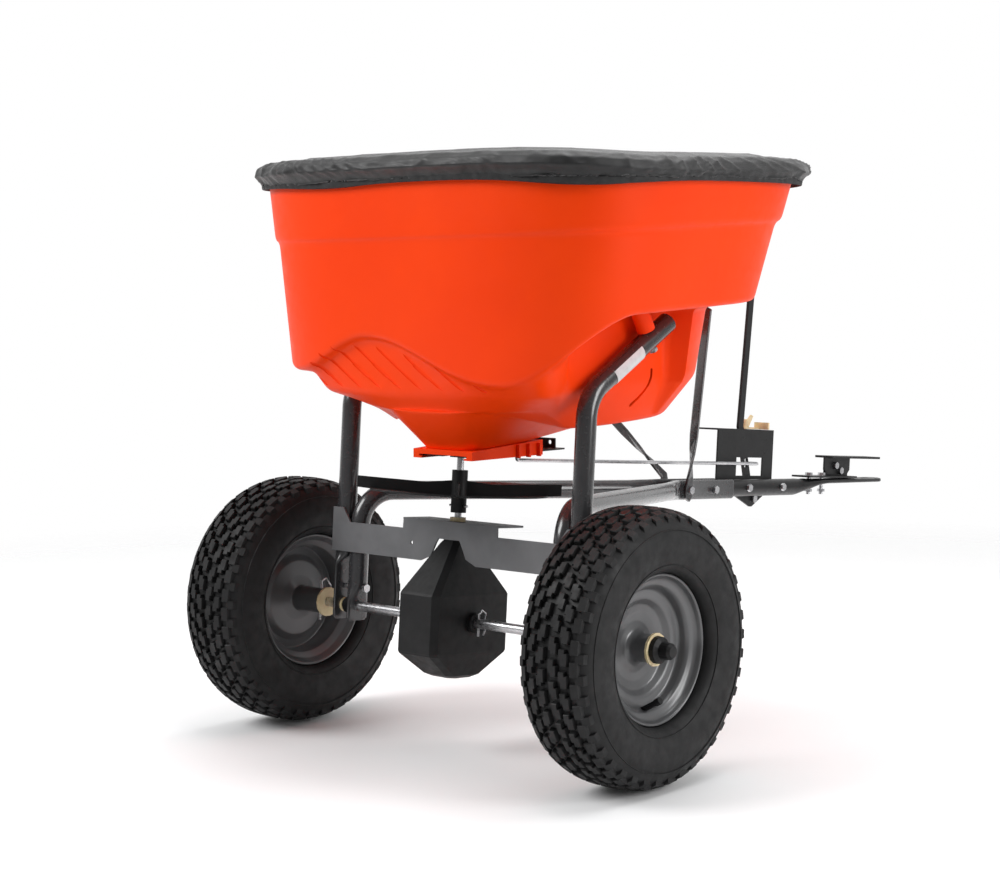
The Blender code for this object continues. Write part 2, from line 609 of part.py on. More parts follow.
def bolt_hole_x(y, z, reach=0.06):
    return cylinder((-reach, y, z), (reach, y, z), BOLT_R + GAP, 10)


clamp_holes = [bolt_hole_x(y, TONGUE_Z + dz) for y, dz in CLAMP_BOLTS]
bracket_holes = [bolt_hole_x(y, TONGUE_Z + dz) for y, dz in BRACKET_BOLTS]
for side_name, side in SIDES:
    leg_hole = cylinder((side * 0.14, 0, 0.0245), (side * 0.22, 0, 0.0245), BOLT_R + GAP, 10)
    axle_hole = cylinder((side * 0.14, 0, 0), (side * 0.19, 0, 0), 0.0085, 20)
    part("drawbar_tube_" + side_name, cut(drawbar_tube(side), leg_hole, axle_hole, *clamp_holes), *FRAME_GREY)
    part("leg_bolt_" + side_name, bolt((side * 0.1604, 0, 0.0245), (side * 0.2100, 0, 0.0245), nut_at=0.0420), *STEEL)
    bearing = [(AXLE_R + GAP, -0.0060), (0.0095, -0.0060), (0.0095, 0.0029), (0.0125, 0.0029),
               (0.0125, 0.0065), (AXLE_R + GAP, 0.0065)]
    place = Matrix.Translation((side * UPRIGHT_X, 0, 0)) @ towards((side, 0, 0))
    part("axle_bushing_" + side_name, turned(bearing, 14, place), *IVORY)

# ---------------------------------------------------------------- tongue and hitch
TONGUE_FLAT = 0.0035
HITCH_PIN_Y, HITCH_PIN_R = 0.9760, 0.0068
tongue_stations = [((0, 0.4450, TONGUE_Z), X_AXIS, TUBE_R, TUBE_R, 2),
                   ((0, 0.7600, TONGUE_Z + 0.0035), X_AXIS, TUBE_R, TUBE_R, 2),
                   ((0, 0.7900, TONGUE_Z + 0.0070), X_AXIS, 0.0155, 0.0092, 2.3),
                   ((0, 0.8200, TONGUE_Z + 0.0115), X_AXIS, 0.0175, 0.0048, 3),
                   ((0, 0.8400, TONGUE_Z + 0.0128), X_AXIS, 0.0185, TONGUE_FLAT, 4),
                   ((0, 0.9930, TONGUE_Z + 0.0155), X_AXIS, 0.0185, TONGUE_FLAT, 4),
                   ((0, 1.0070, TONGUE_Z + 0.0157), X_AXIS, 0.0110, TONGUE_FLAT, 4)]
HITCH_BOLTS = (0.8080, 0.8450)
hitch_pin_hole = cylinder((0, HITCH_PIN_Y, 0.15), (0, HITCH_PIN_Y, 0.25), HITCH_PIN_R, 16)
hitch_bolt_holes = [cylinder((0, y, 0.14), (0, y, 0.20), BOLT_R + GAP, 10) for y in HITCH_BOLTS]
tongue = swept(tongue_stations)
part("tongue", cut(tongue, *clamp_holes, *bracket_holes, hitch_pin_hole, *hitch_bolt_holes), *BLACK_STEEL)

HITCH_HALF = 0.0165
pad_low, pad_high, leg_low, leg_high = 0.1826, 0.1854, 0.2135, 0.2170
ear_outline = [(0.8570, pad_low), (0.9250, pad_low), (0.9250, 0.2000), (0.9180, 0.2070), (0.8570, 0.2070)]
hitch_ear = plate(ear_outline, 0.0030, (Y_AXIS, Z_AXIS), (-0.0032, 0, 0))
hitch_pad = box((0, 0.8550, (pad_low + pad_high) / 2), (2 * HITCH_HALF, 0.1400, pad_high - pad_low))
web_bolts = ((0.8800, 0.2015), (0.8950, 0.1935))
web_holes = [bolt_hole_x(y, z, 0.02) for y, z in web_bolts]
part("hitch_base", cut(join(hitch_pad, hitch_ear), *hitch_bolt_holes, *web_holes), *BLACK_STEEL)
strap_outline = [(0.8570, 0.1880), (0.9180, 0.1880), (0.9250, 0.1950), (0.9250, leg_high), (0.8500, leg_high),
                 (0.8500, 0.1950)]
strap_ear = plate(strap_outline, 0.0030, (Y_AXIS, Z_AXIS), (0.0004, 0, 0))
strap_leg = box((0, 0.9220, (leg_low + leg_high) / 2), (2 * HITCH_HALF, 0.1440, leg_high - leg_low))
part("hitch_strap", cut(join(strap_leg, strap_ear), *web_holes, hitch_pin_hole), *BLACK_STEEL)
for name, y in zip(("rear", "front"), HITCH_BOLTS):
    part("hitch_bolt_" + name, bolt((0, y, pad_high + GAP), (0, y, 0.1560), nut_at=0.0215), *STEEL)
for name, (y, z) in zip(("upper", "lower"), web_bolts):
    part("hitch_web_bolt_" + name, bolt((0.0023, y, z), (-0.0105, y, z), nut_at=0.0074), *STEEL)

for name, (y, dz) in zip(("rear", "front"), CLAMP_BOLTS):
    head_x = BLADE_X + 0.0034 + (0.0044 if name == "rear" else 0.0)
    part("clamp_bolt_" + name, bolt((head_x, y, TONGUE_Z + dz), (-0.0300, y, TONGUE_Z + dz),
                                    nut_at=2 * head_x), *STEEL)
for name, (y, dz) in zip(("rear", "front"), BRACKET_BOLTS):
    part("bracket_bolt_" + name, bolt((TUBE_R + GAP, y, TONGUE_Z + dz), (-0.0235, y, TONGUE_Z + dz),
                                      nut_at=TUBE_R + 0.0170), *STEEL)

# ---------------------------------------------------------------- struts from the tongue to the hopper
STRUT_TOP = Vector((0.1700, 0.2765, 0.4115))
STRUT_THICK, STRUT_WIDE = 0.0022, 0.0066


def strut(side):
    x = side * (BLADE_X + 0.0034 + STRUT_THICK)
    foot = [((x, 0.4560, 0.1500), X_AXIS, STRUT_THICK, 0.0055, 6), ((x, 0.4590, 0.1560), X_AXIS, STRUT_THICK, 0.0090, 6),
            ((x, 0.4600, 0.1700), X_AXIS, STRUT_THICK, 0.0085, 6)]
    bend = Vector((x + side * 0.001, 0.4590, 0.1830))
    top = Vector((side * STRUT_TOP.x, STRUT_TOP.y, STRUT_TOP.z))
    rise = [(bend.lerp(top, t), X_AXIS.lerp(Vector((0, 1, 0.3)), min(1.0, 4 * t)), STRUT_THICK, STRUT_WIDE, 6)
            for t in (0.0, 0.08, 0.16, 0.26, 0.94, 1.0)]
    return swept(foot + rise, sides=8)


for side_name, side in SIDES:
    part("strut_" + side_name, cut(strut(side), clamp_holes[0]), *FRAME_GREY)

# ---------------------------------------------------------------- flow control: bracket, lever, stop
window = box((BRACKET_X, 0.6620, 0.19725), (0.02, 0.0700, 0.0275))
bracket_outline = [(BRACKET_REAR, 0.1560), (0.6210, 0.1556), (0.6670, 0.1366), (0.6730, 0.1366), (0.7066, 0.1556),
                   (BRACKET_FRONT, 0.1560), (BRACKET_FRONT, BRACKET_TOP), (BRACKET_REAR, BRACKET_TOP)]
bracket_web = plate(bracket_outline, PLATE, (Y_AXIS, Z_AXIS), (BRACKET_X, 0, 0))
flange_far = -0.0525
flange_near = BRACKET_X + PLATE / 2
bracket_flange = box(((flange_far + flange_near) / 2, (BRACKET_REAR + BRACKET_FRONT) / 2, BRACKET_TOP - PLATE / 2),
                     (flange_near - flange_far, BRACKET_FRONT - BRACKET_REAR, PLATE))
lever_slot = box((LEVER_X, 0.6705, BRACKET_TOP), (0.0066, 0.0790, 0.02))
STOP_X, STOP_Y = -0.0400, 0.6840
stop_slot = box((STOP_X, 0.6570, BRACKET_TOP), (0.0076, 0.0680, 0.02))
pivot_hole = cylinder((-0.04, LEVER_PIVOT.y, LEVER_PIVOT.z), (0.0, LEVER_PIVOT.y, LEVER_PIVOT.z), BOLT_R + GAP, 12)
bracket = cut(join(bracket_web, bracket_flange), window, lever_slot, stop_slot, pivot_hole, *bracket_holes)
part("control_bracket", bracket, *BLACK_STEEL)

pivot_head = BRACKET_X + PLATE / 2 + GAP
part("lever_pivot_bolt", bolt((pivot_head, LEVER_PIVOT.y, LEVER_PIVOT.z), (-0.0335, LEVER_PIVOT.y, LEVER_PIVOT.z),
                              nut_at=0.0100), *STEEL)


def lever_outline():
    """Side view of the bent flat bar, around its middle line, relative to the pivot."""
    middle = [(0.0, 0.0), (-0.0340, 0.1095), (-0.0140, 0.4300)]
    half = 0.0063
    lower_turn = math.atan2(0.0340, 0.1095)
    upper_turn = math.atan2(-0.0200, 0.3205)
    bend_turn = (lower_turn + upper_turn) / 2
    round_end = [(1.25 * half * math.cos(a), 1.25 * half * math.sin(a))
                 for a in (lower_turn - math.pi + math.pi * k / 8 for k in range(9))]
    right = [(middle[1][0] + half * math.cos(bend_turn), middle[1][1] + half * math.sin(bend_turn)),
             (middle[2][0] + half * math.cos(upper_turn), middle[2][1] + half * math.sin(upper_turn))]
    left = [(middle[2][0] - half * math.cos(upper_turn), middle[2][1] - half * math.sin(upper_turn)),
            (middle[1][0] - half * math.cos(bend_turn), middle[1][1] - half * math.sin(bend_turn))]
    return round_end + right + left


ROD_END_Y = 0.6600
rod_slot = box((0, ROD_END_Y - LEVER_PIVOT.y, ROD_HEIGHT - LEVER_PIVOT.z), (0.02, 0.0080, 0.0130))
lever = plate(lever_outline(), 2 * LEVER_HALF_THICK, (Y_AXIS, Z_AXIS), (0, 0, 0))
lever = cut(lever, rod_slot, cylinder((-0.01, 0, 0), (0.01, 0, 0), BOLT_R + GAP, 12))
part("control_lever", lever, *BLACK_STEEL, parent=lever_axis)

# ---------------------------------------------------------------- sliding stop for the lever
stop_base = box((-0.0400, 0.6955, 0.2555), (0.0120, 0.0420, 0.0026))
stop_ear = box((-0.0300, 0.7149, 0.2596), (0.0260, 0.0032, 0.0108))
stop_screw = cylinder((STOP_X, STOP_Y, 0.2440), (STOP_X, STOP_Y, 0.2680), BOLT_R, 12)
stop_washer = cylinder((STOP_X, STOP_Y, 0.2484), (STOP_X, STOP_Y, 0.2508), 0.0066, 14)
stop_knob = cylinder((STOP_X, STOP_Y, 0.2560), (STOP_X, STOP_Y, 0.2680), 0.0062, 14)
wing = [(-0.0140, 0.2740), (-0.0100, 0.2758), (-0.0045, 0.2690), (0.0045, 0.2690), (0.0100, 0.2758),
        (0.0140, 0.2740), (0.0070, 0.2590), (-0.0070, 0.2590)]
stop_wings = plate(wing, 0.0034, (Vector((0.3, 0.954, 0)).normalized(), Z_AXIS), (STOP_X, STOP_Y, 0))
part("flow_stop", join(stop_base, stop_ear, stop_screw, stop_washer, stop_knob, stop_wings), *IVORY)

# ---------------------------------------------------------------- flow rod, shut-off plate, guide
ROD_X, ROD_REAR = 0.0030, 0.1040
rod_top = 0.2085 + ROD_REAR * math.tan(GATE_PITCH) + 0.0009
rod_path = arc_path([(ROD_X, ROD_REAR, rod_top), (ROD_X, ROD_REAR, ROD_HEIGHT), (ROD_X, ROD_END_Y, ROD_HEIGHT),
                     (-0.0290, ROD_END_Y, ROD_HEIGHT)], 0.0040, 3)
part("flow_rod", wire(rod_path, ROD_R), *STEEL)

rod_seat = Vector((ROD_X, ROD_REAR * math.cos(GATE_PITCH) + 0.0003, 0))
GATE_HALF_X, GATE_REAR, GATE_FRONT = 0.0400, -0.0270, 0.1560
port_half, port_rear, port_front = 0.0220, 0.0300, 0.0560
GATE_TRAVEL = 0.0287
gate = join(box((0, (GATE_REAR + GATE_FRONT) / 2, 0), (2 * GATE_HALF_X, GATE_FRONT - GATE_REAR, 0.0020)),
            box((0, GATE_FRONT - 0.0010, 0.0060), (0.0500, 0.0020, 0.0140)))
gate = cut(gate, box((0, GATE_REAR + 0.0150, 0), (0.0130, 0.0400, 0.01)),
           box((0, (port_rear + port_front) / 2 - GATE_TRAVEL, 0), (2 * port_half, port_front - port_rear, 0.01)),
           cylinder(rod_seat - Z_AXIS * 0.01, rod_seat + Z_AXIS * 0.01, ROD_R + 0.0006, 12),
           cylinder((0.0160, 0.1450, 0.0075), (0.0160, 0.1650, 0.0075), 0.0030, 10))
part("shutoff_plate", gate, *BLACK_STEEL, parent=gate_seat)

GUIDE_HALF, GUIDE_REAR, GUIDE_FRONT = 0.0500, -0.0340, 0.1000


def hopper_floor_over_gate(y):
    """Height of the hopper's flat underside above the shut-off plate's middle plane."""
    return 0.0079 + (y + 0.0283) * math.tan(HOPPER_PITCH - GATE_PITCH)


wedge = [(GUIDE_REAR, 0.0014), (GUIDE_FRONT, 0.0014), (GUIDE_FRONT, hopper_floor_over_gate(GUIDE_FRONT)),
         (GUIDE_REAR, hopper_floor_over_gate(GUIDE_REAR))]
guide = plate(wedge, 2 * GUIDE_HALF, (Y_AXIS, Z_AXIS), (0, 0, 0))
guide_mid, guide_long = (GUIDE_REAR + GUIDE_FRONT) / 2, GUIDE_FRONT - GUIDE_REAR
extras = []
for side in (-1, 1):
    extras.append(box((side * 0.0452, guide_mid, -0.0010), (0.0096, guide_long, 0.0056)))
    extras.append(box((side * 0.0430, guide_mid, -0.0026), (0.0140, guide_long, 0.0024)))
    extras += [box((side * 0.0520, y, 0.0035), (0.0060, 0.0030, 0.0170)) for y in (0.0500, 0.0700, 0.0900)]
guide = cut(join(guide, *extras), cylinder((0, 0, -0.01), (0, 0, 0.03), 0.0080, 16),
            box((0, (port_rear + port_front) / 2, 0), (2 * port_half, port_front - port_rear, 0.08)))
part("gate_guide", guide, *ORANGE, parent=gate_seat)

# ---------------------------------------------------------------- hopper
HOPPER_SIDES = 44
LEDGE_KEYS = ((-180, 0.383), (-172, 0.383), (-140, 0.315), (-108, 0.362), (-54, 0.305), (-20, 0.383), (180, 0.383))


def ledge_height(degrees):
    """Height of the ledge under the hopper's side wall, which rises and falls round the back."""
    for (start, low), (end, high) in zip(LEDGE_KEYS, LEDGE_KEYS[1:]):
        if start <= degrees <= end:
            return low + (high - low) * eased((degrees - start) / (end - start))
    return LEDGE_KEYS[-1][1]


def rearness(degrees):
    return 1.0 - eased((abs(degrees + 90.0) - 42.0) / 16.0)


def plan_point(degrees, half_x, half_y, mid_y, height, power=PLAN_POWER):
    x, y = superellipse(math.radians(degrees), half_x, half_y, power)
    return Vector((x, mid_y + y, height))


def bowl_point(degrees, front, rear, inset, lift):
    """Blend of the front and rear forms (half_x, half_y, height, power), kept clear of the uprights."""
    ledge = ledge_height(degrees)
    half_x, half_y, height, power = front
    before = plan_point(degrees, half_x - inset, half_y - inset, 0.160, min(height, ledge - 0.006), power)
    wide, deep, height, power = rear
    behind = plan_point(degrees, wide - inset, deep - inset, 0.160, min(height, ledge - 0.006), power)
    point = before.lerp(behind, rearness(degrees)) + Z_AXIS * lift
    limit = BESIDE_TUBE - inset + 0.09 * (eased((point.y - 0.210) / 0.05) + eased((0.020 - point.y) / 0.04))
    point.x = min(max(point.x, -limit), limit)
    return point


BESIDE_TUBE = 0.1838         # widest the bowl may be where the uprights pass it
BOWL_LEVELS = (((0.168, 0.144, 0.240, 2.8), (0.175, 0.190, 0.268, 3.0)),
               ((0.2085, 0.1765, 0.290, 2.9), (0.252, 0.203, 0.288, 3.9)),
               ((0.2215, 0.185, 0.377, 3.2), (0.272, 0.214, 0.400, 3.9)))
WALL_LEVELS = ((0.2945, 0.2405, 0.1665, 0.4785, 0), (0.3002, 0.2462, 0.1690, 0.4832, 0),
               (0.3105, 0.2535, 0.1770, 0.5560, 1))
LIP = (0.3135, 0.2562, 0.1775)


def rim_tilted(point, share=1):
    """The rim's plane falls a little towards the front and the right."""
    return point - Z_AXIS * share * (RIM_FALL_Y * (point.y + 0.09) + RIM_FALL_X * point.x)


def hopper_rings(inset, lift):
    rings = []
    angles = [-180.0 + 360.0 * (k + 0.5) / HOPPER_SIDES for k in range(HOPPER_SIDES)]
    rings.append([plan_point(d, 0.045 - inset, 0.060 - inset, 0.060, OUTLET_HEIGHT + lift, 5.0) for d in angles])
    funnel = [plan_point(d, 0.105 - inset, 0.1175 - inset, 0.0825, 0.0, 3.0) for d in angles]
    rings.append([p + Z_AXIS * (0.228 + (0.200 - p.y) * 0.17 + lift) for p in funnel])
    for front, rear in BOWL_LEVELS:
        rings.append([bowl_point(d, front, rear, inset, lift) for d in angles])
    half_x, half_y, mid_y = LEDGE_PLAN
    rings.append([plan_point(d, half_x - inset, half_y - inset, mid_y, ledge_height(d) + lift) for d in angles])
    for half_x, half_y, mid_y, height, share in WALL_LEVELS:
        ring = [plan_point(d, half_x - inset, half_y - inset, mid_y, height) for d in angles]
        rings.append([rim_tilted(p, share) for p in ring])
    return rings, angles


outer_rings, hopper_angles = hopper_rings(0.0, 0.0)
for height in (0.5600, 0.5675):
    outer_rings.append([rim_tilted(plan_point(d, *LIP, height)) for d in hopper_angles])
inner_rings, _ = hopper_rings(HOPPER_WALL, 0.0032)
inner_rings.insert(0, [p - Z_AXIS * 0.0200 for p in inner_rings[0]])
top = WALL_LEVELS[-1]
inner_rings.append([plan_point(d, top[0] - HOPPER_WALL, top[1] - HOPPER_WALL, top[2], 0.6000) for d in hopper_angles])

to_hopper = Matrix.Rotation(-HOPPER_PITCH, 4, "X")


def in_hopper(mesh):
    mesh.transform(to_hopper)
    return mesh


def skin_point(ring, x):
    """Point of a ring on the hopper's rear side at the given X."""
    rear = sorted((p for p in ring if p.y < 0.04), key=lambda p: p.x)
    for a, b in zip(rear, rear[1:]):
        if a.x <= x <= b.x:
            return a.lerp(b, (x - a.x) / (b.x - a.x))
    raise ValueError("no skin at this X")


def groove(x, width, depth):
    low, high = skin_point(outer_rings[3], x), skin_point(outer_rings[4], x)
    along = (high - low).normalized()
    out = X_AXIS.cross(along) * depth
    low, high = low + along * 0.004, high - along * 0.004
    across = X_AXIS * width / 2
    return loft([[p + across + out, p - across + out, p - across - out, p + across - out] for p in (low, high)])


GROOVES = [-0.1271 + 0.0450 * k for k in range(6)]
grooves = [groove(x, 0.0090 if k % 2 else 0.0060, 0.0014) for k, x in enumerate(GROOVES)]
tube_up = Vector((0, -(UPRIGHT_TOP.z - 0.288), UPRIGHT_TOP.y)).normalized()
HOPPER_BOLT_Y = 0.1120
hopper_bolts = {}
for side_name, side in SIDES:
    t = HOPPER_BOLT_Y / UPRIGHT_TOP.y
    hopper_bolts[side_name] = Vector((side * (UPRIGHT_X + t * (UPRIGHT_TOP.x - UPRIGHT_X)), HOPPER_BOLT_Y,
                                      0.288 + t * (UPRIGHT_TOP.z - 0.288)))
bolt_holes = {name: cylinder(p - tube_up * 0.03, p + tube_up * 0.07, BOLT_R + GAP, 10)
              for name, p in hopper_bolts.items()}

BOSS_R, BOSS_TOP = 0.0115, 0.0505
bosses = [in_hopper(cylinder(p + tube_up * (TUBE_R + GAP), p + tube_up * BOSS_TOP, BOSS_R, 20))
          for p in hopper_bolts.values()]
hopper = join(cut(loft(outer_rings), loft(inner_rings), *grooves), *bosses)
hopper = cut(hopper, *[in_hopper(hole.copy()) for hole in bolt_holes.values()])
part("hopper", hopper, *ORANGE, parent=hopper_seat)

for side_name, side in SIDES:
    part("upright_" + side_name, cut(upright(side), bolt_holes[side_name]), *FRAME_GREY)
    middle = hopper_bolts[side_name]
    part("hopper_bolt_" + side_name, bolt(middle - tube_up * (TUBE_R + GAP), middle + tube_up * (BOSS_TOP + 0.0080),
                                          nut_at=TUBE_R + BOSS_TOP + 2 * GAP), *STEEL)

# ---------------------------------------------------------------- fabric cover
COVER_LEVELS = ((0.3165, 0.2605, 0.1790, 0.5485), (0.3180, 0.2630, 0.1800, 0.5570), (0.3235, 0.2810, 0.1840, 0.5690),
                (0.3215, 0.2790, 0.1840, 0.5770), (0.3150, 0.2720, 0.1840, 0.5835), (0.3000, 0.2570, 0.1840, 0.5870),
                (0.1500, 0.1300, 0.1840, 0.5890))
FABRIC_THICK = 0.0014
HEM_DIPS = ((-112, 17, 0.0050), (-38, 16, 0.0100), (66, 18, 0.0060), (146, 17, 0.0080))
TOP_DIPS = ((-20, 22, 0.0065), (158, 22, 0.0050))


def dip(degrees, dips):
    """How far the fabric hangs down between the places where the elastic gathers it."""
    total = 0.0
    for middle, width, depth in dips:
        away = (degrees - middle + 180.0) % 360.0 - 180.0
        total += depth * math.exp(-(away / width) ** 2)
    return total


def cover_ring(level, inset, drop):
    half_x, half_y, mid_y, height = COVER_LEVELS[level]
    dips = HEM_DIPS if level < 2 else TOP_DIPS
    share = 0.0 if level == len(COVER_LEVELS) - 1 else 1.0
    return [rim_tilted(plan_point(d, half_x - inset, half_y - inset, mid_y, height - drop - share * dip(d, dips)))
            for d in hopper_angles]


outer_cover = [cover_ring(i, 0.0, 0.0) for i in range(len(COVER_LEVELS))]
inner_cover = [cover_ring(i, FABRIC_THICK, FABRIC_THICK if i > 2 else 0.0) for i in range(len(COVER_LEVELS))]
inner_cover.insert(0, [p - Z_AXIS * 0.0300 for p in inner_cover[0]])
part("cover", cut(loft(outer_cover), loft(inner_cover)), *FABRIC, parent=hopper_seat)
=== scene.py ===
"""Looks for the tow-behind spreader: fine surfaces, materials, fabric cover, light and camera."""
import json
import math

import bmesh
import bpy
import numpy as np
from mathutils import Matrix, Vector, noise
from mathutils.bvhtree import BVHTree

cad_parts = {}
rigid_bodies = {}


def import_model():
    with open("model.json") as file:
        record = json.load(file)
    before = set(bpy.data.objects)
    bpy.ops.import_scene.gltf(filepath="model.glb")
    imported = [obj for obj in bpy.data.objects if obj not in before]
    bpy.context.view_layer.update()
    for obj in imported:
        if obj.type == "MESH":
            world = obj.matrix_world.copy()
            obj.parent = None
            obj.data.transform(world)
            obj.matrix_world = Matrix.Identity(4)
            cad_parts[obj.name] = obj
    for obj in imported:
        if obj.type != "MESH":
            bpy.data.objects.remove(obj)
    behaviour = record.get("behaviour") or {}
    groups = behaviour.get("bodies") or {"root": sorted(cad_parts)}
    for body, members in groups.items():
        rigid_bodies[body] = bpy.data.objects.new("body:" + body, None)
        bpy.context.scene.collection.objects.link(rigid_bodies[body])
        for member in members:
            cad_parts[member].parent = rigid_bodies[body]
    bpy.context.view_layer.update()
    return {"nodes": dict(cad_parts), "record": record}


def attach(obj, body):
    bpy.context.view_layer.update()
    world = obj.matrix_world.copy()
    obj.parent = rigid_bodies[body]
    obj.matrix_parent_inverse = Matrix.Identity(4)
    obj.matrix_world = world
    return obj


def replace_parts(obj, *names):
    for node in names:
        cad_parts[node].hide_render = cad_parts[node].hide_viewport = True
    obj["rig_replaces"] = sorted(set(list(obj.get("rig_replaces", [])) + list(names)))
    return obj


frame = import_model()
nodes = frame["nodes"]
scene = bpy.context.scene

# ---------------------------------------------------------------- shared frames and sizes
AXLE_Y, AXLE_HEIGHT = -0.4263, 0.165
CHASSIS = Matrix.Translation((0, AXLE_Y, AXLE_HEIGHT)) @ Matrix.Rotation(math.radians(-4.0), 4, "X")
SEAT = CHASSIS @ Matrix.Rotation(math.radians(7.65), 4, "X")
TRACK_HALF, TYRE_R = 0.2895, 0.165
X, Y, Z = Vector((1, 0, 0)), Vector((0, 1, 0)), Vector((0, 0, 1))
SIDES = (("left", -1), ("right", 1))


# ---------------------------------------------------------------- materials
class Finish:
    """A Principled material with noise-driven colour, roughness and bump."""

    def __init__(self, name, colour, roughness, metallic=0.0):
        self.mat = bpy.data.materials.new(name)
        self.mat.use_nodes = True
        self.tree = self.mat.node_tree
        self.shader = self.tree.nodes["Principled BSDF"]
        self.colour, self.roughness = colour, roughness
        self.shader.inputs["Base Color"].default_value = (*colour, 1)
        self.shader.inputs["Metallic"].default_value = metallic
        self.shader.inputs["Roughness"].default_value = roughness
        self.mat.diffuse_color = (*colour, 1)
        self.place = self.tree.nodes.new("ShaderNodeTexCoord").outputs["Object"]
        self.normal = None

    def link(self, a, b):
        self.tree.links.new(a, b)

    def noise(self, scale, detail=3.0, rough=0.55, stretch=None):
        place = self.place
        if stretch:
            mapping = self.tree.nodes.new("ShaderNodeMapping")
            mapping.inputs["Scale"].default_value = stretch
            self.link(place, mapping.inputs["Vector"])
            place = mapping.outputs["Vector"]
        node = self.tree.nodes.new("ShaderNodeTexNoise")
        node.inputs["Scale"].default_value = scale
        node.inputs["Detail"].default_value = detail
        node.inputs["Roughness"].default_value = rough
        self.link(place, node.inputs["Vector"])
        return node.outputs["Fac"]

    def span(self, value, low, high, start=0.3, end=0.7):
        node = self.tree.nodes.new("ShaderNodeMapRange")
        for key, number in (("From Min", start), ("From Max", end), ("To Min", low), ("To Max", high)):
            node.inputs[key].default_value = number
        self.link(value, node.inputs["Value"])
        return node.outputs["Result"]

    def tint(self, value, other, start=0.35, end=0.65):
        """Mixes towards another colour where the value is high."""
        ramp = self.tree.nodes.new("ShaderNodeValToRGB")
        ramp.color_ramp.elements[0].position, ramp.color_ramp.elements[1].position = start, end
        ramp.color_ramp.elements[0].color = (*self.colour, 1)
        ramp.color_ramp.elements[1].color = (*other, 1)
        self.link(value, ramp.inputs["Fac"])
        self.link(ramp.outputs["Color"], self.shader.inputs["Base Color"])
        return self

    def gloss(self, value, low, high):
        self.link(self.span(value, low, high), self.shader.inputs["Roughness"])
        return self

    def bump(self, value, strength, distance):
        node = self.tree.nodes.new("ShaderNodeBump")
        node.inputs["Strength"].default_value = strength
        node.inputs["Distance"].default_value = distance
        self.link(value, node.inputs["Height"])
        if self.normal:
            self.link(self.normal, node.inputs["Normal"])
        self.normal = node.outputs["Normal"]
        self.link(self.normal, self.shader.inputs["Normal"])
        return self

    def set(self, **values):
        for key, value in values.items():
            self.shader.inputs[key.replace("_", " ")].default_value = value
        return self


ORANGE = (0.93, 0.052, 0.0003)
orange = Finish("orange_plastic", ORANGE, 0.45)
grain = orange.noise(900, 2)
orange.tint(orange.noise(6, 3), (0.89, 0.046, 0.0003)).gloss(orange.noise(60, 4), 0.40, 0.52)
orange.bump(grain, 0.16, 0.0004).bump(orange.noise(140, 3), 0.05, 0.0006).set(Coat_Weight=0.0,
        Specular_IOR_Level=0.14)

BLACK = (0.0055, 0.0055, 0.006)
plastic = Finish("black_plastic", (0.0055, 0.0055, 0.006), 0.5)
plastic.tint(plastic.noise(30, 4), (0.009, 0.009, 0.0095)).gloss(plastic.noise(90, 4), 0.42, 0.60)
plastic.bump(plastic.noise(1100, 2), 0.22, 0.0003).set(Specular_IOR_Level=0.28)

rubber = Finish("tyre_rubber", (0.0060, 0.0060, 0.0063), 0.55)
rubber.tint(rubber.noise(24, 5), (0.010, 0.010, 0.0105)).gloss(rubber.noise(70, 5), 0.48, 0.74)
rubber.bump(rubber.noise(420, 4), 0.25, 0.0004).set(Specular_IOR_Level=0.30)

tread_rubber = Finish("tread_rubber", (0.0070, 0.0070, 0.0073), 0.60)
tread_rubber.tint(tread_rubber.noise(60, 5), (0.013, 0.013, 0.0135)).gloss(tread_rubber.noise(90, 5), 0.52,
        0.80)
tread_rubber.bump(tread_rubber.noise(500, 4), 0.3, 0.0004).set(Specular_IOR_Level=0.30)

frame_paint = Finish("frame_paint", (0.030, 0.030, 0.032), 0.26, 0.0)
frame_paint.tint(frame_paint.noise(40, 4), (0.034, 0.034, 0.036)).gloss(frame_paint.noise(120, 4), 0.20, 0.30)
frame_paint.bump(frame_paint.noise(380, 3), 0.10, 0.0003).set(Coat_Weight=0.5, Coat_Roughness=0.12)

grey_plate = Finish("grey_plate", (0.135, 0.137, 0.142), 0.42, 0.25)
grey_plate.tint(grey_plate.noise(26, 4), (0.16, 0.162, 0.168)).gloss(grey_plate.noise(110, 4), 0.34, 0.52)
grey_plate.bump(grey_plate.noise(420, 3), 0.12, 0.0003)

black_paint = Finish("black_paint", BLACK, 0.34, 0.2)
black_paint.tint(black_paint.noise(50, 4), (0.009, 0.009, 0.0095)).gloss(black_paint.noise(140, 4), 0.27,
        0.46)
black_paint.bump(black_paint.noise(600, 3), 0.18, 0.0003)

rim_paint = Finish("rim_paint", (0.085, 0.086, 0.089), 0.34, 0.25)
rim_paint.tint(rim_paint.noise(18, 4), (0.095, 0.096, 0.099)).gloss(rim_paint.noise(60, 4), 0.28, 0.40)
rim_paint.bump(rim_paint.noise(240, 3), 0.08, 0.0003).set(Coat_Weight=0.35, Coat_Roughness=0.22)

zinc = Finish("zinc_steel", (0.66, 0.66, 0.67), 0.28, 1.0)
zinc.tint(zinc.noise(80, 5), (0.52, 0.52, 0.54)).gloss(zinc.noise(300, 4, stretch=(1, 1, 6)), 0.20, 0.42)
zinc.bump(zinc.noise(700, 3, stretch=(0.2, 1, 1)), 0.12, 0.0002)

gear_steel = Finish("gear_steel", (0.40, 0.39, 0.37), 0.4, 1.0)
gear_steel.tint(gear_steel.noise(60, 5), (0.28, 0.27, 0.25)).gloss(gear_steel.noise(200, 4), 0.30, 0.55)
gear_steel.bump(gear_steel.noise(500, 3), 0.2, 0.0002)

